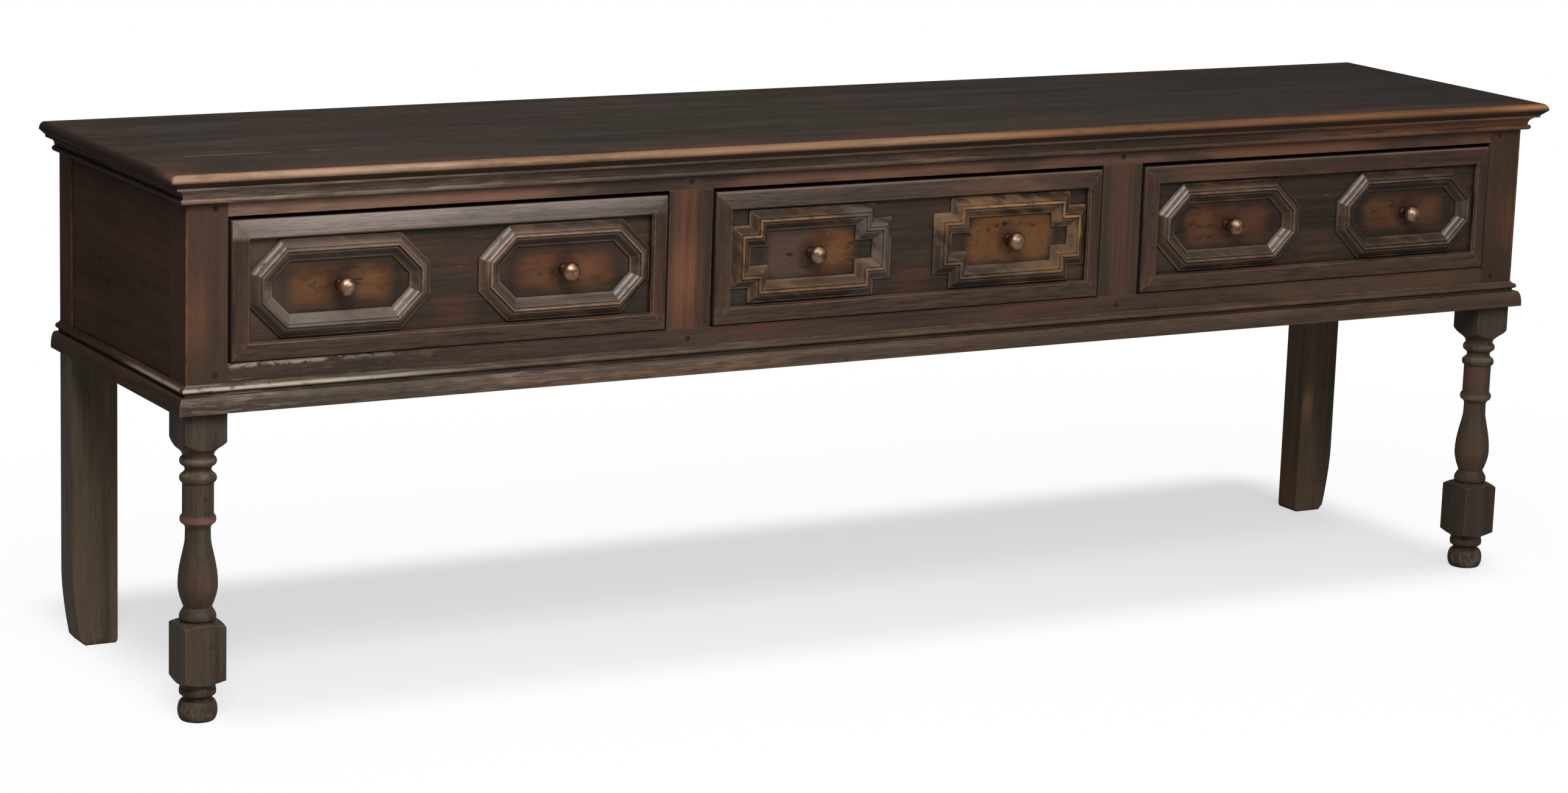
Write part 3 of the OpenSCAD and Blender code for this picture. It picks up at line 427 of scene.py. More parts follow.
def eared_distance(u, v):
    """How far a point lies outside the ridge of a frame with notched corners."""
    tall = (u - (RIDGE_HALF_W - NOTCH_W)).most(v - RIDGE_HALF_H)
    wide = (u - RIDGE_HALF_W).most(v - (RIDGE_HALF_H - NOTCH_H))
    return tall.least(wide)


def give(material, *names):
    """Puts a material on CAD nodes."""
    for name in names:
        slots = NODES[name].data.materials
        slots.clear()
        slots.append(material)


def oak_settings(context):
    """The colours of the oak and the sizes of its wear."""
    return context.scene.oak_colours, context.scene.wear_sizes


# The finishes

class DRESSER_OT_top(bpy.types.Operator):
    """Near-black waxed top, rubbed to honey along its front edge"""

    bl_idname = "dresser.top"
    bl_label = "Top boards"

    def execute(self, context):
        colours, wear = oak_settings(context)
        f = oak("oak_top", "X", tone(46, 38, 32), colours, wear, seed=1, red=0.15, bloom=0.35,
                edge=0.0, shine=0.72, contrast=0.6)
        # Painted shade, darker toward the right, and reddish wood along the front and at the left
        # corner
        f.paint(f.x.ramp(0.1, 1.1) * 0.40, tone(34, 30, 27))
        along_front = f.y.ramp(NOSE_Y + 0.075, NOSE_Y + 0.01)
        reddish = (f.blotch * 0.7 + f.streak * 0.5).ramp(0.50, 0.72)
        f.paint(along_front * reddish * 0.55, colours.red)
        corner = f.x.ramp(-1.08, -1.17) * f.y.ramp(TOP_JOINT_Y, NOSE_Y + 0.03)
        f.paint(corner * f.blotch.ramp(0.30, 0.55) * 0.55, colours.red)
        self.wear_nose(f, colours)
        # The joint of the two boards shows pale at the left
        joint = f.y.near(TOP_JOINT_Y, 0.0040) * f.x.ramp(-0.78, -0.92) * f.x.ramp(-1.19, -1.15)
        gaps = f.noise(along=26, across=26, offset=9).ramp(0.36, 0.56)
        f.paint(joint * gaps * 0.65, tone(128, 113, 97))
        give(f.done(specular=0.09), "top_front_board", "top_rear_board", "top_pegs")
        return {"FINISHED"}

    def wear_nose(self, f, colours):
        """Dark ends, a band of bare wood along the front and a honey lip above it."""
        front = f.y.ramp(NOSE_Y + 0.012, NOSE_Y + 0.006)
        ends = abs(f.x).ramp(END_X - 0.012, END_X - 0.005)
        length = f.noise(along=3.5, across=8, offset=12)
        rubbed = (f.blotch * 0.4 + f.chips * 0.25 + length * 0.35).ramp(0.34, 0.50)
        f.paint(front * 0.6, tone(60, 45, 33))
        f.paint(ends * (0.55 + f.blotch.ramp(0.30, 0.60) * 0.4), tone(44, 31, 25))
        # The bare wood is pale at the left, brown along the middle and honey at the right end
        bare = f.mix(f.x.ramp(-0.85, -0.60), tone(164, 132, 108), tone(142, 109, 82))
        bare = f.mix(f.x.ramp(0.0, 0.3), bare, tone(126, 86, 56))
        bare = f.mix(f.x.ramp(1.08, 1.20), bare, tone(172, 122, 76))
        grained = 0.70 + f.streak.ramp(0.35, 0.65) * 0.30
        band = (abs(f.z - NOSE_BAND_Z) + f.x.ramp(0.0, 0.4) * 0.0012).ramp(0.0095, 0)
        f.paint(front * band * (0.50 + rubbed * 0.45) * grained, bare)
        lip = f.z.near(NOSE_LIP_Z, 0.0030) * (length * 0.6 + f.chips * 0.4).ramp(0.46, 0.56)
        f.paint(front * lip * 0.6, colours.honey)
        f.paint(front * f.scuff.ramp(0.60, 0.70) * f.blotch.ramp(0.58, 0.44) * 0.5, colours.deep)
        f.paint(ends * band * f.y.ramp(NOSE_Y + 0.09, NOSE_Y) * rubbed * 0.3, bare)
        f.rough = f.rough - front * band * rubbed * 0.25


def along_rails(f):
    """1 along the arrises of the rails, and 0 round the pegs between them."""
    upper, lower = (abs(f.z - middle(rail, 2)).near(half(rail, 2), 0.009)
                    for rail in ("front_top_rail", "front_bottom_rail"))
    return upper + lower


def post_arrises(leg):
    """A mask for the upright arrises of a pair of posts and for all of their legs below."""
    def mask(f):
        across = abs(abs(f.x) - abs(middle(leg, 0))).near(half(leg, 0), 0.010)
        through = abs(f.y - middle(leg, 1)).near(half(leg, 1), 0.010)
        return (across * through).most(f.z.ramp(CARCASS_LOW_Z + 0.001, CARCASS_LOW_Z - 0.001))
    return mask


class DRESSER_OT_frame(bpy.types.Operator):
    """Dark oak rails, posts and muntins with reddish rubbed streaks"""

    bl_idname = "dresser.frame"
    bl_label = "Frame"

    def execute(self, context):
        colours, wear = oak_settings(context)
        self.finish_rails(colours, wear)
        self.finish_muntins(colours, wear)
        self.finish_legs("front", tone(66, 56, 46), colours, wear, seed=47)
        # The rear legs get a lighter ground, as painted light making up for the shade they stand in
        self.finish_legs("rear", tone(92, 80, 65), colours, wear, seed=53)
        return {"FINISHED"}

    def finish_rails(self, colours, wear):
        f = oak("oak_rails", "X", tone(58, 43, 34), colours, wear, seed=21, red=0.8, bloom=0.2,
                rub=colours.rub, shine=0.44, worn=along_rails)
        upper = f.z.ramp(TOP_RAIL_LOW_Z - 0.05, TOP_RAIL_LOW_Z - 0.03)
        lower_edge = f.z.ramp(TOP_RAIL_LOW_Z + 0.030, TOP_RAIL_LOW_Z + 0.006) * upper
        f.paint(upper * f.blotch.ramp(0.32, 0.58) * 0.45, tone(104, 74, 58))
        streaks = lower_edge * f.blotch.ramp(0.38, 0.58) * f.streak.ramp(0.3, 0.6)
        f.paint(streaks * 0.7, tone(108, 72, 54))
        # Pale and scuffed toward the left end, warmer toward the right
        to_left = f.x.ramp(-0.35, -1.1)
        to_right = f.x.ramp(0.35, 0.75)
        patches = f.blotch.ramp(0.25, 0.55)
        f.paint(upper * to_left * patches * 0.40, tone(140, 108, 90))
        f.paint(upper * to_right * patches * 0.50, tone(104, 67, 46))
        f.paint((1 - upper) * to_right * patches * 0.40, tone(92, 70, 50))
        f.paint(f.scuff.ramp(0.52, 0.68) * to_left * f.handled * 0.42, colours.pale)
        # A painted highlight along the bottom rail's chamfer near the left end
        chamfer = f.z.near(RAIL_CHAMFER_Z, 0.006) * f.x.ramp(-0.78, -1.04)
        f.paint(chamfer * f.chips.ramp(0.40, 0.55) * 0.7, tone(168, 154, 140))
        give(f.done(specular=0.25), "front_top_rail", "front_bottom_rail")

    def finish_muntins(self, colours, wear):
        f = oak("oak_muntins", "Z", colours.ground, colours, wear, seed=33, red=0.35, bloom=0.3,
                rub=colours.rub, contrast=0.55)
        # A reddish band runs up each muntin and glows beside the drawers, most on the left one
        on_left = f.x.ramp(0.2, -0.2)
        drift = (f.noise(along=3, across=3, offset=4) - 0.5) * 0.03
        band = abs(abs(f.x) - BAY_PITCH / 2 - 0.004 + drift).ramp(0.034, 0.006)
        f.paint(band * f.streak.ramp(0.1, 0.75) * (0.50 + on_left * 0.30), tone(98, 60, 43))
        glow = band * f.z.near(DRAWER_MID_Z - 0.02, 0.085) * f.streak.ramp(0.10, 0.55)
        f.paint(glow * 0.50 * on_left, colours.rub)
        give(f.done(specular=0.25), "left_muntin", "right_muntin")

    def finish_legs(self, place, ground, colours, wear, seed):
        left, right = f"left_{place}_leg", f"right_{place}_leg"
        f = oak(f"oak_{place}_legs", "Z", ground, colours, wear, seed, red=0.25, bloom=0.4,
                rub=tone(112, 92, 72), shine=0.52, worn=post_arrises(left), contrast=0.7)
        self.wear_posts(f, left, colours)
        self.wear_turnings(f, colours)
        self.wear_feet(f, right)
        give(f.done(specular=0.13), left, right)

    def wear_posts(self, f, left, colours):
        """Darker posts beside the drawers, reddish toward the ends, with red-brown sides."""
        within = f.z.ramp(CARCASS_LOW_Z - 0.002, CARCASS_LOW_Z + 0.002)
        f.paint(within * 0.6, tone(68, 47, 35))
        foot_of_post = f.z.ramp(DRAWER_MID_Z - 0.02, DRAWER_MID_Z - 0.09)
        f.paint(within * foot_of_post * (0.25 + f.x.ramp(0.0, 0.5) * 0.20), tone(46, 39, 31))
        glow = f.z.near(DRAWER_MID_Z - 0.035, 0.085) * f.streak.ramp(0.15, 0.55)
        toward_end = (abs(f.x) - abs(middle(left, 0)) + half(left, 0) * 0.3).ramp(0.0, 0.018)
        f.paint(within * glow * toward_end * 0.38, tone(112, 70, 50))
        facing_x = f.split(f.node("ShaderNodeTexCoord", output="Normal"))[0]
        sideways = abs(facing_x).ramp(0.6, 0.95)
        f.paint(sideways * within * 0.9, colours.end)
        f.rough = f.rough + sideways * within * 0.24
        corner_x, corner_y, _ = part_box(left)[0]
        arris = (abs(f.x) + corner_x).ramp(-0.0040, -0.0015)
        arris = arris * (f.y - corner_y).ramp(0.0040, 0.0015)
        f.paint(arris * within * f.chips.ramp(0.38, 0.56) * 0.6, colours.rub)

    def wear_turnings(self, f, colours):
        """Painted highlights on the upper rings, a rubbed ring and reddish turnings in front, and
        warmer wood at the rear right.
        """
        ahead = f.y.ramp(0.05, 0.0)
        to_right = f.x.ramp(-0.2, 0.6)
        f.paint(f.z.near(RING_Z, 0.009) * ahead * f.chips.ramp(0.25, 0.5) * 0.65,
                f.mix(to_right, tone(136, 92, 80), tone(112, 88, 72)))
        f.paint(f.z.near(BALUSTER_Z, 0.055) * ahead * f.blotch.ramp(0.30, 0.60) * 0.5,
                tone(92, 64, 48))
        column = f.z.near(COLUMN_Z, 0.034) * ahead * f.streak.ramp(0.25, 0.55)
        f.paint(column * (0.15 + to_right * 0.30), tone(98, 65, 56))
        low = f.z.ramp(COLLAR_Z + 0.005, COLLAR_Z - 0.005)
        f.paint(low * ahead * to_right * 0.25, tone(34, 28, 24))
        f.paint(f.y.ramp(0.0, 0.1) * to_right * f.blotch.ramp(0.25, 0.55) * 0.18,
                tone(112, 84, 56))
        # Painted highlights on the two upper rings
        upper, lower = (f.z.near(height, 0.006) for height in UPPER_RINGS_Z)
        f.paint((upper + lower) * ahead * f.chips.ramp(0.38, 0.58) * 0.35, colours.pale)

    def wear_feet(self, f, right):
        """Chipped feet, and a bare patch and a rubbed foot on the rear right leg."""
        floor_chips = f.z.ramp(FOOT_TOP_Z, 0.010)
        f.paint(floor_chips * f.chips.ramp(0.46, 0.64) * 0.42, tone(122, 102, 86))
        behind = f.y.ramp(0.0, 0.05)
        bare = f.x.near(middle(right, 0) - 0.022, 0.021) * f.z.near(BARE_PATCH_Z, 0.100)
        bare = bare * 1.2 + f.chips * 0.9 + f.streak * 0.6 - 1.0
        f.paint(bare.ramp(0.0, 0.5) * behind * 0.55, tone(112, 84, 58))
        f.paint(bare.ramp(0.15, 0.70) * f.z.ramp(0.14, 0.20) * behind * 0.7, tone(152, 124, 92))
        rubbed_foot = f.x.near(middle(right, 0) - 0.032, 0.024) * f.z.near(0.050, 0.055)
        f.paint(rubbed_foot * behind * f.chips.ramp(0.30, 0.55) * 0.7, tone(122, 82, 56))


class DRESSER_OT_ends(bpy.types.Operator):
    """Flat dark red-brown end boards"""

    bl_idname = "dresser.ends"
    bl_label = "End boards"

    def execute(self, context):
        colours, wear = oak_settings(context)
        f = oak("oak_ends", "Y", colours.end, colours, wear, seed=61, red=0.12, bloom=0.06,
                edge=0.2, shine=0.70, contrast=0.6)
        give(f.done(specular=0.10), "left_end_board", "right_end_board")
        return {"FINISHED"}


class DRESSER_OT_mouldings(bpy.types.Operator):
    """Bed and base mouldings with rubbed fillets and a painted highlight on the base bead"""

    bl_idname = "dresser.mouldings"
    bl_label = "Carcass mouldings"

    def execute(self, context):
        self.finish_runs(context, ("front",), "X", tone(76, 59, 45), edge=0.8, shine=0.38,
                         specular=0.30)
        self.finish_runs(context, ("left", "right"), "Y", tone(58, 41, 31), edge=0.12, shine=0.68,
                         specular=0.12)
        return {"FINISHED"}

    def finish_runs(self, context, sides, grain, ground, edge, shine, specular):
        colours, wear = oak_settings(context)
        f = oak("oak_moulding_" + grain.lower(), grain, ground, colours, wear, seed=71, red=0.4,
                bloom=0.3, edge=edge, shine=shine)
        if "front" in sides:
            self.streak_front(f)
        to_left = f.x.ramp(0.2, -1.1)
        scuffed = f.mix(to_left, colours.rub, tone(150, 136, 122))
        scuffs = f.scuff.ramp(0.48, 0.66) * f.handled * (0.30 + to_left * 0.40)
        f.paint(scuffs * edge * 0.6, scuffed)
        # A painted highlight, almost white, on the bead along the base near the left end
        bead = f.z.near(BASE_BEAD_Z, 0.005) * f.y.ramp(0.0, -0.1)
        f.paint(bead * f.x.ramp(-0.70, -1.0) * f.chips.ramp(0.28, 0.46) * 0.85,
                tone(192, 178, 162))
        f.rough = f.rough - bead * 0.10
        give(f.done(specular=specular),
             *(f"{side}_{kind}_moulding" for side in sides for kind in ("bed", "base")))

    def streak_front(self, f):
        """Pale at the left and red-brown at the right of the bed moulding, and streaked."""
        bed = f.z.ramp(DRAWER_MID_Z, DRAWER_MID_Z + 0.05)
        soft = (0.15 + f.blotch.ramp(0.28, 0.58) * 0.50) * (0.45 + f.scuff.ramp(0.36, 0.58) * 0.8)
        f.paint(bed * f.x.ramp(-0.45, -1.10) * soft, tone(136, 112, 94))
        f.paint(bed * f.x.ramp(0.35, 0.95) * soft, tone(112, 66, 41))
        f.paint(f.streak.ramp(0.50, 0.62) * 0.55, tone(34, 25, 20))
        f.paint(f.figure.ramp(0.52, 0.62) * f.scuff.ramp(0.42, 0.56) * 0.45, tone(118, 88, 70))


class DRESSER_OT_drawer_fronts(bpy.types.Operator):
    """Drawer fronts with a warm rubbed tablet round each knob"""

    bl_idname = "dresser.drawer_fronts"
    bl_label = "Drawer fronts"

    def execute(self, context):
        colours, wear = oak_settings(context)
        f = oak("oak_fronts", "X", colours.ground, colours, wear, seed=83, red=0.35, bloom=0.6,
                shine=0.46)
        u, v = panel_place(f)
        aside = bay_x(f)
        centre = abs(f.x).ramp(BAY_PITCH / 2 + 0.001, BAY_PITCH / 2 - 0.001)
        wobble = (f.noise(along=12, across=18, offset=5) - 0.5) * 0.022
        mottle = f.noise(along=18, across=34, offset=6, detail=3, rough=0.7)
        # A tablet with round corners, narrower and taller on the centre drawer
        corner = wear.tablet_half_h * 0.75
        du = (u - (wear.tablet_half_w - corner) + centre * 0.006).most(0)
        dv = (v - (wear.tablet_half_h - corner) - centre * 0.006).most(0)
        outside = (du * du + dv * dv) ** 0.5 - corner + wobble
        tablet = (outside + (f.blotch - 0.5) * 0.02).ramp(0.006, -0.016)
        f.paint(outside.ramp(0.024, 0.004) * 0.35, colours.deep)
        wood = self.tablet_wood(f, u, v, aside, centre, mottle, colours)
        strength = (0.45 + f.streak * 0.5 + f.cloud * 0.4) * (0.80 + f.x.ramp(0.9, 0.1) * 0.20)
        f.paint(tablet * strength.least(1) * f.chips.ramp(0.74, 0.54), wood)
        # Dark polish gathered round the knobs, which also stands in for their shadow as painted
        # shade
        knob = (u * u + v * v) ** 0.5
        f.paint(knob.ramp(0.030, 0.010) * (0.45 + mottle * 0.6).least(1) * 0.85,
                times(0.35, colours.red))
        # A reddish patch low in the middle of each front, and the lighter left end of the row
        patch = (abs(aside) + wobble * 2).ramp(0.050, 0.005)
        patch = patch * f.z.near(DRAWER_MID_Z - 0.052, 0.040)
        f.paint(patch * f.streak.ramp(0.25, 0.65) * 0.55, colours.red)
        f.paint(f.x.ramp(-0.98, -1.08) * f.blotch.ramp(0.25, 0.55) * 0.45, tone(88, 68, 54))
        give(f.done(specular=0.22), *(d + "_drawer_front" for d in DRAWERS))
        return {"FINISHED"}

    def tablet_wood(self, f, u, v, aside, centre, mottle, colours):
        """Mottled brown, reddish on the outer drawers, ochre and greyed on the centre one."""
        warm = f.mix(mottle.ramp(0.36, 0.62), times(0.55, colours.warm), colours.warm)
        reddish = f.mix(f.blotch.ramp(0.44, 0.62) * 0.5 * (1 - centre), warm, colours.red)
        lobe = u.near(0.040, 0.036) * v.ramp(0.032, 0.006) * mottle.ramp(0.25, 0.55)
        lit_up = f.mix(lobe * (0.3 + f.x.ramp(0.4, -0.4) * 0.3), reddish, tone(110, 72, 46))
        ochre = f.mix(centre * aside.ramp(-0.02, 0.02) * 0.6, lit_up, tone(106, 70, 40))
        greyed = centre * (aside + PANEL_X).ramp(0.012, -0.012) * aside.ramp(0.02, -0.02)
        return f.mix(greyed * 0.8, ochre, tone(70, 56, 48))


def border_place(f):
    """Lays the grain along each strip of a drawer's border."""
    f.side = FRONT_HALF_W - abs(bay_x(f))
    rise = FRONT_HALF_H - abs(f.z - DRAWER_MID_Z)
    upright = (f.side - rise).ramp(0.0002, -0.0002)
    f.inward = f.side.least(rise)
    along = f.x + (f.z * 3.1 - f.x) * upright
    f.place = f.vector(along, f.y, f.inward)


def ring_place(distance):
    """Lays the grain round a panel frame whose ridge is given by a distance function."""
    def place(f):
        u, v = panel_place(f)
        aside = bay_x(f)
        f.outward = distance(u, v)
        f.right = aside.ramp(-0.01, 0.01)
        f.aside = aside - (f.right * 2 - 1) * PANEL_X
        mitre = f.outward * math.tan(math.pi / 8)
        f.canted = (u - (RIDGE_HALF_W - CANT)).least(v - (RIDGE_HALF_H - CANT)) - mitre
        f.place = f.vector(f.x + f.z * 1.3, f.y, f.outward)
    return place


class DRESSER_OT_applied(bpy.types.Operator):
    """Mitred borders and panel frames, pale along their rubbed ridges"""

    bl_idname = "dresser.applied"
    bl_label = "Drawer mouldings"

    def execute(self, context):
        colours, wear = oak_settings(context)
        self.finish_borders(colours, wear)
        octagons = self.rings("oak_octagons", tone(60, 44, 32), colours.pale, octagon_distance,
                              colours, wear)
        self.shade_quirks_and_hollows(octagons, colours)
        self.wear_octagons(octagons)
        give(octagons.done(specular=0.28), "left_drawer_octagons", "right_drawer_octagons")
        eared = self.rings("oak_eared", tone(70, 53, 39), tone(142, 102, 64), eared_distance,
                           colours, wear)
        self.gild_crest(eared)
        self.shade_quirks_and_hollows(eared, colours)
        self.wear_eared(eared)
        give(eared.done(specular=0.24), "centre_drawer_eared_frames")
        return {"FINISHED"}

    def finish_borders(self, colours, wear):
        f = oak("oak_border", "X", tone(55, 39, 28), colours, wear, seed=91, red=0.45, bloom=0.25,
                edge=0.7, shine=0.36, place=border_place)
        outer = f.inward.near(0.001, 0.003) * f.z.ramp(DRAWER_MID_Z, DRAWER_MID_Z + 0.06)
        f.paint(outer * f.handled * 0.45, colours.pale)
        # A painted highlight on the upper strip of the left drawer, brightest at its left end, and
        # rubbed streaks along the lower strips
        above = f.z.ramp(DRAWER_MID_Z + 0.070, DRAWER_MID_Z + 0.080)
        below = f.z.ramp(DRAWER_MID_Z - 0.070, DRAWER_MID_Z - 0.080)
        painted_sheen = above * f.x.ramp(-0.30, -0.62) * f.blotch.ramp(0.20, 0.55)
        strength = 0.36 - f.x.ramp(-0.95, -0.50) * 0.18 + f.inward.ramp(0.016, 0.006) * 0.12
        f.paint(painted_sheen * strength, tone(150, 134, 124))
        f.paint(below * f.scuff.ramp(0.36, 0.60) * 0.45, tone(94, 70, 52))
        # Orange-brown streaks above, a reddish stretch on the centre drawer, and painted shade
        # along the upright edges beside the gaps
        f.paint(above * f.cloud.ramp(0.45, 0.60) * f.streak.ramp(0.3, 0.6) * 0.35, colours.rub)
        reddened = f.x.near(0.19, 0.16) * f.blotch.ramp(0.28, 0.52)
        f.paint(above * reddened * 0.5, tone(122, 84, 62))
        f.paint(f.side.ramp(0.0032, 0.0014) * 0.9, colours.deep)
        give(f.done(specular=0.32), *(d + "_drawer_border" for d in DRAWERS))

    def rings(self, name, ground, line, distance, colours, wear):
        """Patchy oak laid round the panel frames, with a line rubbed along the ridge."""
        f = oak(name, "X", ground, colours, wear, seed=101, red=0.4, bloom=0.3, edge=0.6,
                shine=0.34, place=ring_place(distance))
        f.patchy = f.noise(along=26, across=34, offset=14, detail=3, rough=0.6)
        pale_patch = f.mix(f.cloud.ramp(0.4, 0.6), tone(122, 92, 66), tone(112, 96, 84))
        f.paint(f.patchy.ramp(0.48, 0.68) * 0.34, pale_patch)
        f.paint(f.patchy.ramp(0.46, 0.32) * 0.24, colours.deep)
        f.ridge = f.outward.near(0.0, 0.0030)
        rubbed = f.mix(f.blotch.ramp(0.46, 0.56), line, colours.rub)
        strength = 0.35 + f.x.ramp(0.5, 0.2) * 0.45
        f.paint(f.ridge * f.handled * f.chips.ramp(0.34, 0.58) * strength, rubbed)
        return f

    def upper_half(self, f):
        """A mask for what lies above the middle of the drawers."""
        return f.z.ramp(DRAWER_MID_Z - 0.005, DRAWER_MID_Z + 0.005)

    def gild_crest(self, f):
        """Ochre chips along the upper ridges, most on the right frame."""
        crest = f.outward.near(0.001, 0.0045) * self.upper_half(f) * f.blotch.ramp(0.30, 0.52)
        f.paint(crest * f.chips.ramp(0.34, 0.56) * (0.30 + f.right * 0.40), tone(154, 116, 76))

    def shade_quirks_and_hollows(self, f, colours):
        """Painted shade in the quirks beside the ridge and a dark dull skin in the hollows."""
        quirk = abs(f.outward).near(0.0036, 0.0012)
        f.paint(quirk * 0.7, colours.deep)
        dull = abs(f.outward).near(0.0100, 0.0035)
        f.paint(dull * 0.35, colours.deep)
        f.rough = f.rough + dull * 0.22

    def lower_inside(self, f):
        """A mask for the inner slopes of the lower strips."""
        return f.outward.ramp(0.0, -0.002) * (1 - self.upper_half(f)) * f.blotch.ramp(0.25, 0.50)

    def wear_octagons(self, f):
        """Pale slopes and crests toward the left drawer, painted light on the upward inner slopes
        of the lower strips, and painted highlights on the cants.
        """
        above = self.upper_half(f)
        to_left = f.x.ramp(-0.3, -1.0)
        grained = (0.5 + f.streak * 0.7).least(1)
        f.paint(to_left * f.blotch.ramp(0.20, 0.50) * 0.30, tone(112, 92, 76))
        # The upward inner slopes of the lower strips painted pale, as painted light
        f.paint(self.lower_inside(f) * (0.10 + to_left * 0.36) * grained, tone(126, 114, 104))
        crest = f.outward.near(0.004, 0.007) * above * f.handled
        f.paint(crest * (0.12 + to_left * 0.42), tone(138, 114, 97))
        f.paint(f.ridge * f.right * to_left * f.chips.ramp(0.30, 0.52) * 0.55, tone(164, 110, 84))
        # Two pale lines painted as a highlight on the upper left and the lower right cant of each
        # octagon
        turned = above - f.aside.ramp(-0.002, 0.002)
        cant = abs(turned).ramp(0.5, 0.9) * f.canted.ramp(-0.0005, 0.0010)
        outside = f.outward.ramp(-0.001, 0.001)
        slope = outside * above + (1 - outside) * (1 - above)
        lines = abs(f.outward).near(0.0050, 0.0022) + abs(f.outward).near(0.0120, 0.0030)
        f.paint(cant * slope * lines * f.chips.ramp(0.30, 0.50) * 0.42, tone(190, 172, 160))

    def wear_eared(self, f):
        """Ochre on the right frame, a grey right part on the left one, and the upward inner slopes
        of the lower strips painted lighter as painted light.
        """
        grained = (0.5 + f.streak * 0.7).least(1)
        f.paint(f.right * self.upper_half(f) * f.patchy.ramp(0.40, 0.56) * 0.35,
                tone(138, 102, 72))
        cool = f.aside.ramp(0.050, 0.075) * (1 - f.right)
        f.paint(cool * f.patchy.ramp(0.36, 0.56) * 0.45, tone(100, 90, 86))
        # The upward inner slopes of the lower strips painted lighter, as painted light
        f.paint(self.lower_inside(f) * (0.28 + f.right * 0.32) * grained * (0.4 + f.patchy),
                tone(122, 95, 64))


class DRESSER_OT_knobs(bpy.types.Operator):
    """Turned brass knobs, handled bright and dark in their hollows"""

    bl_idname = "dresser.knobs"
    bl_label = "Knobs"

    def execute(self, context):
        metals = context.scene.metal_colours
        f = Finish("knob_brass")
        mottle = f.noise(along=90, across=90, offset=3, detail=3)
        scratch = f.noise(along=420, across=420, offset=8)
        air = f.open_air(0.014)
        f.round_arrises(0.0006)
        f.colour = f.mix(mottle.ramp(0.35, 0.65), metals.brass, times(0.6, metals.brass))
        f.paint((1 - air).ramp(0.06, 0.50), metals.tarnish)
        f.paint(mottle.ramp(0.50, 0.68) * 0.6, metals.tarnish)
        # The neck behind the ball painted dark, as tarnish and as painted shade under the ball
        f.paint((f.y - KNOB_TIP_Y).ramp(0.014, 0.022) * 0.85, metals.tarnish)
        f.rough = 0.25 + mottle * 0.20 + scratch * 0.08 + (1 - air) * 0.25
        f.height = scratch * 0.2 + mottle * 0.4
        f.surface.inputs["Metallic"].default_value = 1
        give(f.done(specular=0.5), *(d + "_drawer_knobs" for d in DRAWERS))
        return {"FINISHED"}


class DRESSER_OT_inside(bpy.types.Operator):
    """Dry unpolished oak behind the fronts and at the back"""

    bl_idname = "dresser.inside"
    bl_label = "Inside and back"

    def execute(self, context):
        colours, wear = oak_settings(context)
        sides = [f"{d}_drawer_{s}_{k}" for d in DRAWERS for s in ("left", "right")
                 for k in ("runner", "side")]
        groups = (
            ("oak_back_x", "X", colours.aged,
             ["rear_top_rail", "rear_bottom_rail", "upper_back_board", "lower_back_board"]),
            ("oak_back_z", "Z", colours.aged, ["left_rear_muntin", "right_rear_muntin"]),
            ("oak_dry_x", "X", colours.dry, [d + "_drawer_back" for d in DRAWERS]),
            ("oak_dry_y", "Y", colours.dry,
             ["left_bearer", "right_bearer"] + sides + [d + "_drawer_bottom" for d in DRAWERS]),
        )
        for name, grain, ground, nodes in groups:
            f = oak(name, grain, ground, colours, wear, seed=113, red=0.15, bloom=0.1, edge=0.2,
                    shine=0.78)
            stained = f.cloud.ramp(0.44, 0.64) * f.streak.ramp(0.25, 0.60)
            f.paint(stained * 0.6, times(0.45, ground))
            f.paint(f.chips.ramp(0.60, 0.72) * 0.5, colours.deep)
            f.paint(f.scuff.ramp(0.56, 0.70) * 0.25, tone(160, 146, 126))
            give(f.done(specular=0.2), *nodes)
        return {"FINISHED"}


class DRESSER_OT_fastenings(bpy.types.Operator):
    """Oak pegs and iron nails"""

    bl_idname = "dresser.fastenings"
    bl_label = "Pegs and nails"

    def execute(self, context):
        colours, wear = oak_settings(context)
        pegs = oak("oak_pegs", "Y", tone(50, 36, 28), colours, wear, seed=127, red=0.2, bloom=0.1,
                   edge=0.0)
        give(pegs.done(specular=0.08), "frame_pegs")
        f = Finish("iron_nails")
        f.round_arrises(0.0005)
        rust = f.noise(along=160, across=160, offset=2, detail=3).ramp(0.45, 0.62)
        f.colour = f.mix(rust, context.scene.metal_colours.iron, tone(92, 54, 36))
        f.rough = 0.5 + rust * 0.35
        f.height = rust
        f.surface.inputs["Metallic"].default_value = 0.7
        give(f.done(), "back_nails")
        return {"FINISHED"}


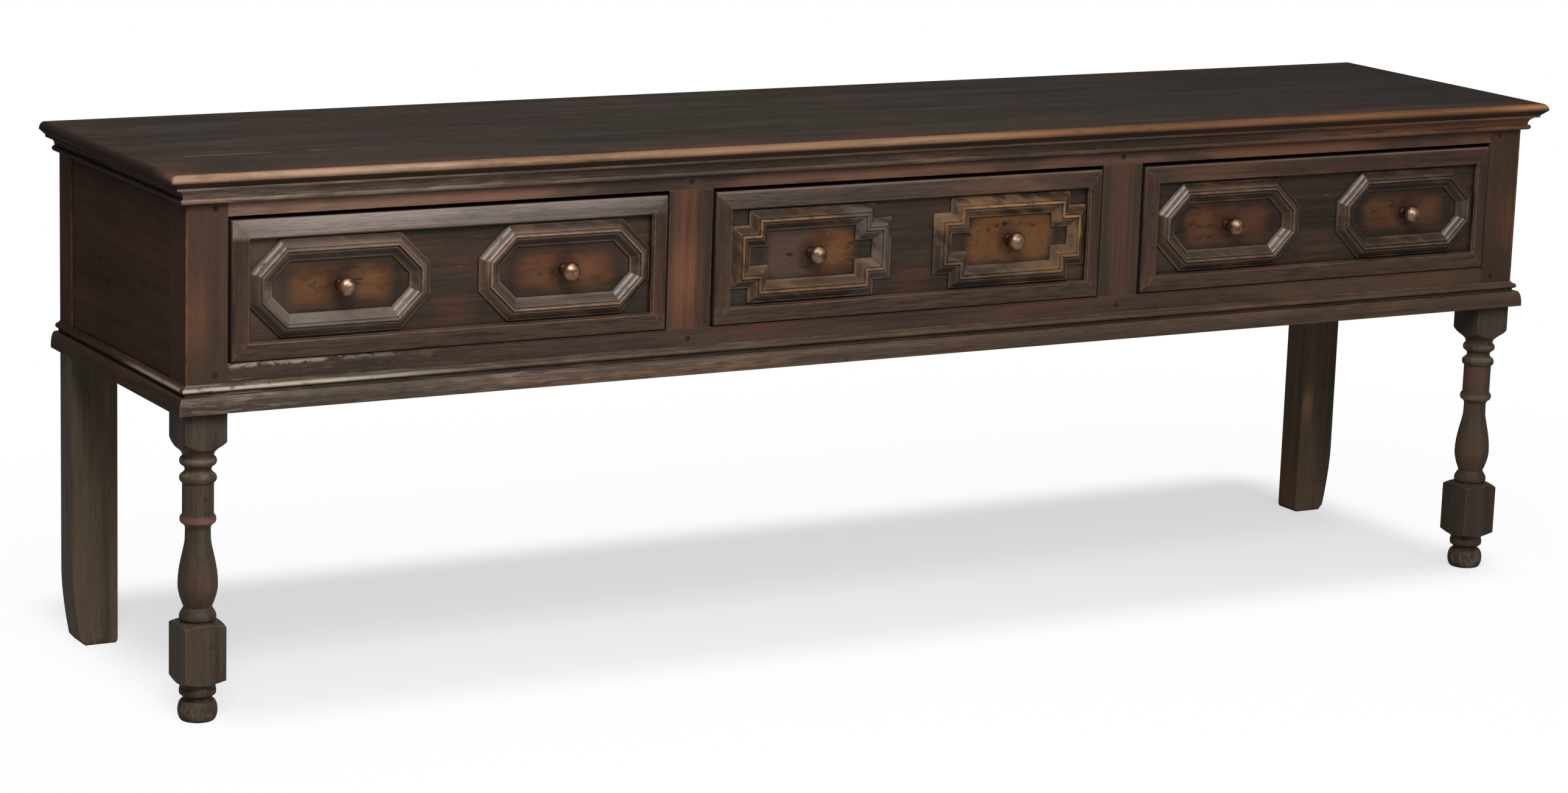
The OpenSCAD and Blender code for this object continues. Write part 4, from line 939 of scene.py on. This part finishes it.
class DRESSER_OT_studio(bpy.types.Operator):
    """Pale floor, soft lamps and the photograph's camera"""

    bl_idname = "dresser.studio"
    bl_label = "Studio"

    def execute(self, context):
        studio = context.scene.studio
        self.add_camera(context, studio)
        self.add_floor()
        self.add_lamp("key_softbox", studio.key, place=(-1.5, -2.7, 3.15),
                      target=(-0.5, -0.1, 0.6), size=(2.2, 1.4))
        self.add_lamp("side_softbox", studio.side, place=(0.8, -3.3, 2.1),
                      target=(-0.6, -0.2, 0.6), size=(0.9, 0.9))
        self.add_lamp("top_softbox", studio.top, place=(-0.3, -0.1, 3.4),
                      target=(-0.2, 0.0, 0.5), size=(2.6, 1.6))
        self.set_world(context, studio.world)
        context.scene.view_settings.view_transform = "Standard"
        return {"FINISHED"}

    def add_camera(self, context, studio):
        yaw, pitch, roll = studio.camera_turn
        ahead = Vector((math.sin(yaw) * math.cos(pitch), math.cos(yaw) * math.cos(pitch),
                        -math.sin(pitch)))
        level = Vector((math.cos(yaw), -math.sin(yaw), 0))
        above = level.cross(ahead)
        right = level * math.cos(roll) + above * math.sin(roll)
        up = above * math.cos(roll) - level * math.sin(roll)
        data = bpy.data.cameras.new("camera")
        data.sensor_width = 36
        data.lens = studio.focal_pixels / PHOTO_WIDTH * data.sensor_width
        camera = bpy.data.objects.new("camera", data)
        context.scene.collection.objects.link(camera)
        camera.matrix_world = Matrix.Translation(studio.camera_place) @ Matrix(
            (right, up, -ahead)).transposed().to_4x4()
        context.scene.camera = camera

    def add_floor(self):
        """A pale floor, painted greyer as a shadow under the piece, that shows white away from it.
        """
        bpy.ops.object.select_all(action="DESELECT")
        bpy.ops.mesh.primitive_plane_add(size=80, location=(0, 0, 0))
        floor = bpy.context.object
        floor.name = "floor"
        f = Finish("floor")
        beside = (abs(f.x - SHADOW_MID[0]) - SHADOW_HALF[0]).most(0)
        before = (abs(f.y - SHADOW_MID[1]) - SHADOW_HALF[1]).most(0)
        away = (beside * beside + before * before) ** 0.5
        # Less white inside the rectangle, as a painted shadow
        open_floor = 0.55 + away.ramp(0.0, 0.17) * 0.40 + away.ramp(0.1, 1.2) * 0.05
        camera_ray = f.node("ShaderNodeLightPath", output="Is Camera Ray")
        grey = f.mix(camera_ray, (0.38, 0.38, 0.38), (0.84, 0.84, 0.85))
        matt = f.node("ShaderNodeBsdfDiffuse", inputs={"Color": grey})
        white = f.node("ShaderNodeEmission", inputs={"Color": (1, 1, 1), "Strength": 1.0})
        share = f.seen_white() * open_floor
        seen = f.node("ShaderNodeMixShader", inputs={0: share, 1: matt, 2: white})
        f.tree.nodes.remove(f.surface)
        f.tree.links.new(seen.socket, f.tree.nodes["Material Output"].inputs["Surface"])
        floor.data.materials.append(f.material)

    def add_lamp(self, name, power, place, target, size):
        data = bpy.data.lights.new(name, "AREA")
        data.shape = "RECTANGLE"
        data.size, data.size_y = size
        data.energy = power
        lamp = bpy.data.objects.new(name, data)
        bpy.context.scene.collection.objects.link(lamp)
        lamp.location = place
        lamp.rotation_euler = (Vector(target) - Vector(place)).to_track_quat("-Z", "Y").to_euler()

    def set_world(self, context, strength):
        """Soft light all round, weaker from the left, in front of a white background."""
        world = bpy.data.worlds.new("studio")
        world.use_nodes = True
        sky = Shader(world.node_tree)
        sideways = sky.split(sky.node("ShaderNodeTexCoord", output="Generated"))[0]
        level = sky.node("ShaderNodeMapRange", inputs={
            "Value": sideways, "From Min": -1.0, "From Max": -0.2, "To Min": 0.4 * strength,
            "To Max": strength})
        lit = sky.node("ShaderNodeBackground", inputs={"Color": (1, 1, 1), "Strength": level})
        white = sky.node("ShaderNodeBackground", inputs={"Color": (1, 1, 1), "Strength": 1.0})
        seen = sky.node("ShaderNodeMixShader", inputs={0: sky.seen_white(), 1: lit, 2: white})
        sky.tree.nodes.remove(sky.tree.nodes["Background"])
        sky.tree.links.new(seen.socket, sky.tree.nodes["World Output"].inputs["Surface"])
        context.scene.world = world


OPERATORS = (
    DRESSER_OT_top, DRESSER_OT_frame, DRESSER_OT_ends, DRESSER_OT_mouldings,
    DRESSER_OT_drawer_fronts, DRESSER_OT_applied, DRESSER_OT_knobs, DRESSER_OT_inside,
    DRESSER_OT_fastenings, DRESSER_OT_studio,
)
GROUPS = {
    "oak_colours": OakColours, "metal_colours": MetalColours, "wear_sizes": WearSizes,
    "studio": StudioSettings,
}


class DRESSER_PT_panel(bpy.types.Panel):
    """Lists the finishes and the studio"""

    bl_idname = "DRESSER_PT_panel"
    bl_label = "Dresser base"
    bl_space_type = "VIEW_3D"
    bl_region_type = "UI"
    bl_category = "Dresser"

    def draw(self, context):
        for name, group in GROUPS.items():
            for prop in group.__annotations__:
                self.layout.prop(getattr(context.scene, name), prop)
        for operator in OPERATORS:
            self.layout.operator(operator.bl_idname)


def register():
    for cls in (*GROUPS.values(), *OPERATORS, DRESSER_PT_panel):
        bpy.utils.register_class(cls)
    for name, group in GROUPS.items():
        setattr(bpy.types.Scene, name, bpy.props.PointerProperty(type=group))


def unregister():
    for name in GROUPS:
        delattr(bpy.types.Scene, name)
    for cls in (DRESSER_PT_panel, *reversed(OPERATORS), *reversed(GROUPS.values())):
        bpy.utils.unregister_class(cls)


def main():
    """Runs every step in order."""
    register()
    for operator in OPERATORS:
        group, name = operator.bl_idname.split(".")
        getattr(getattr(bpy.ops, group), name)()


if __name__ == "__main__":
    main()
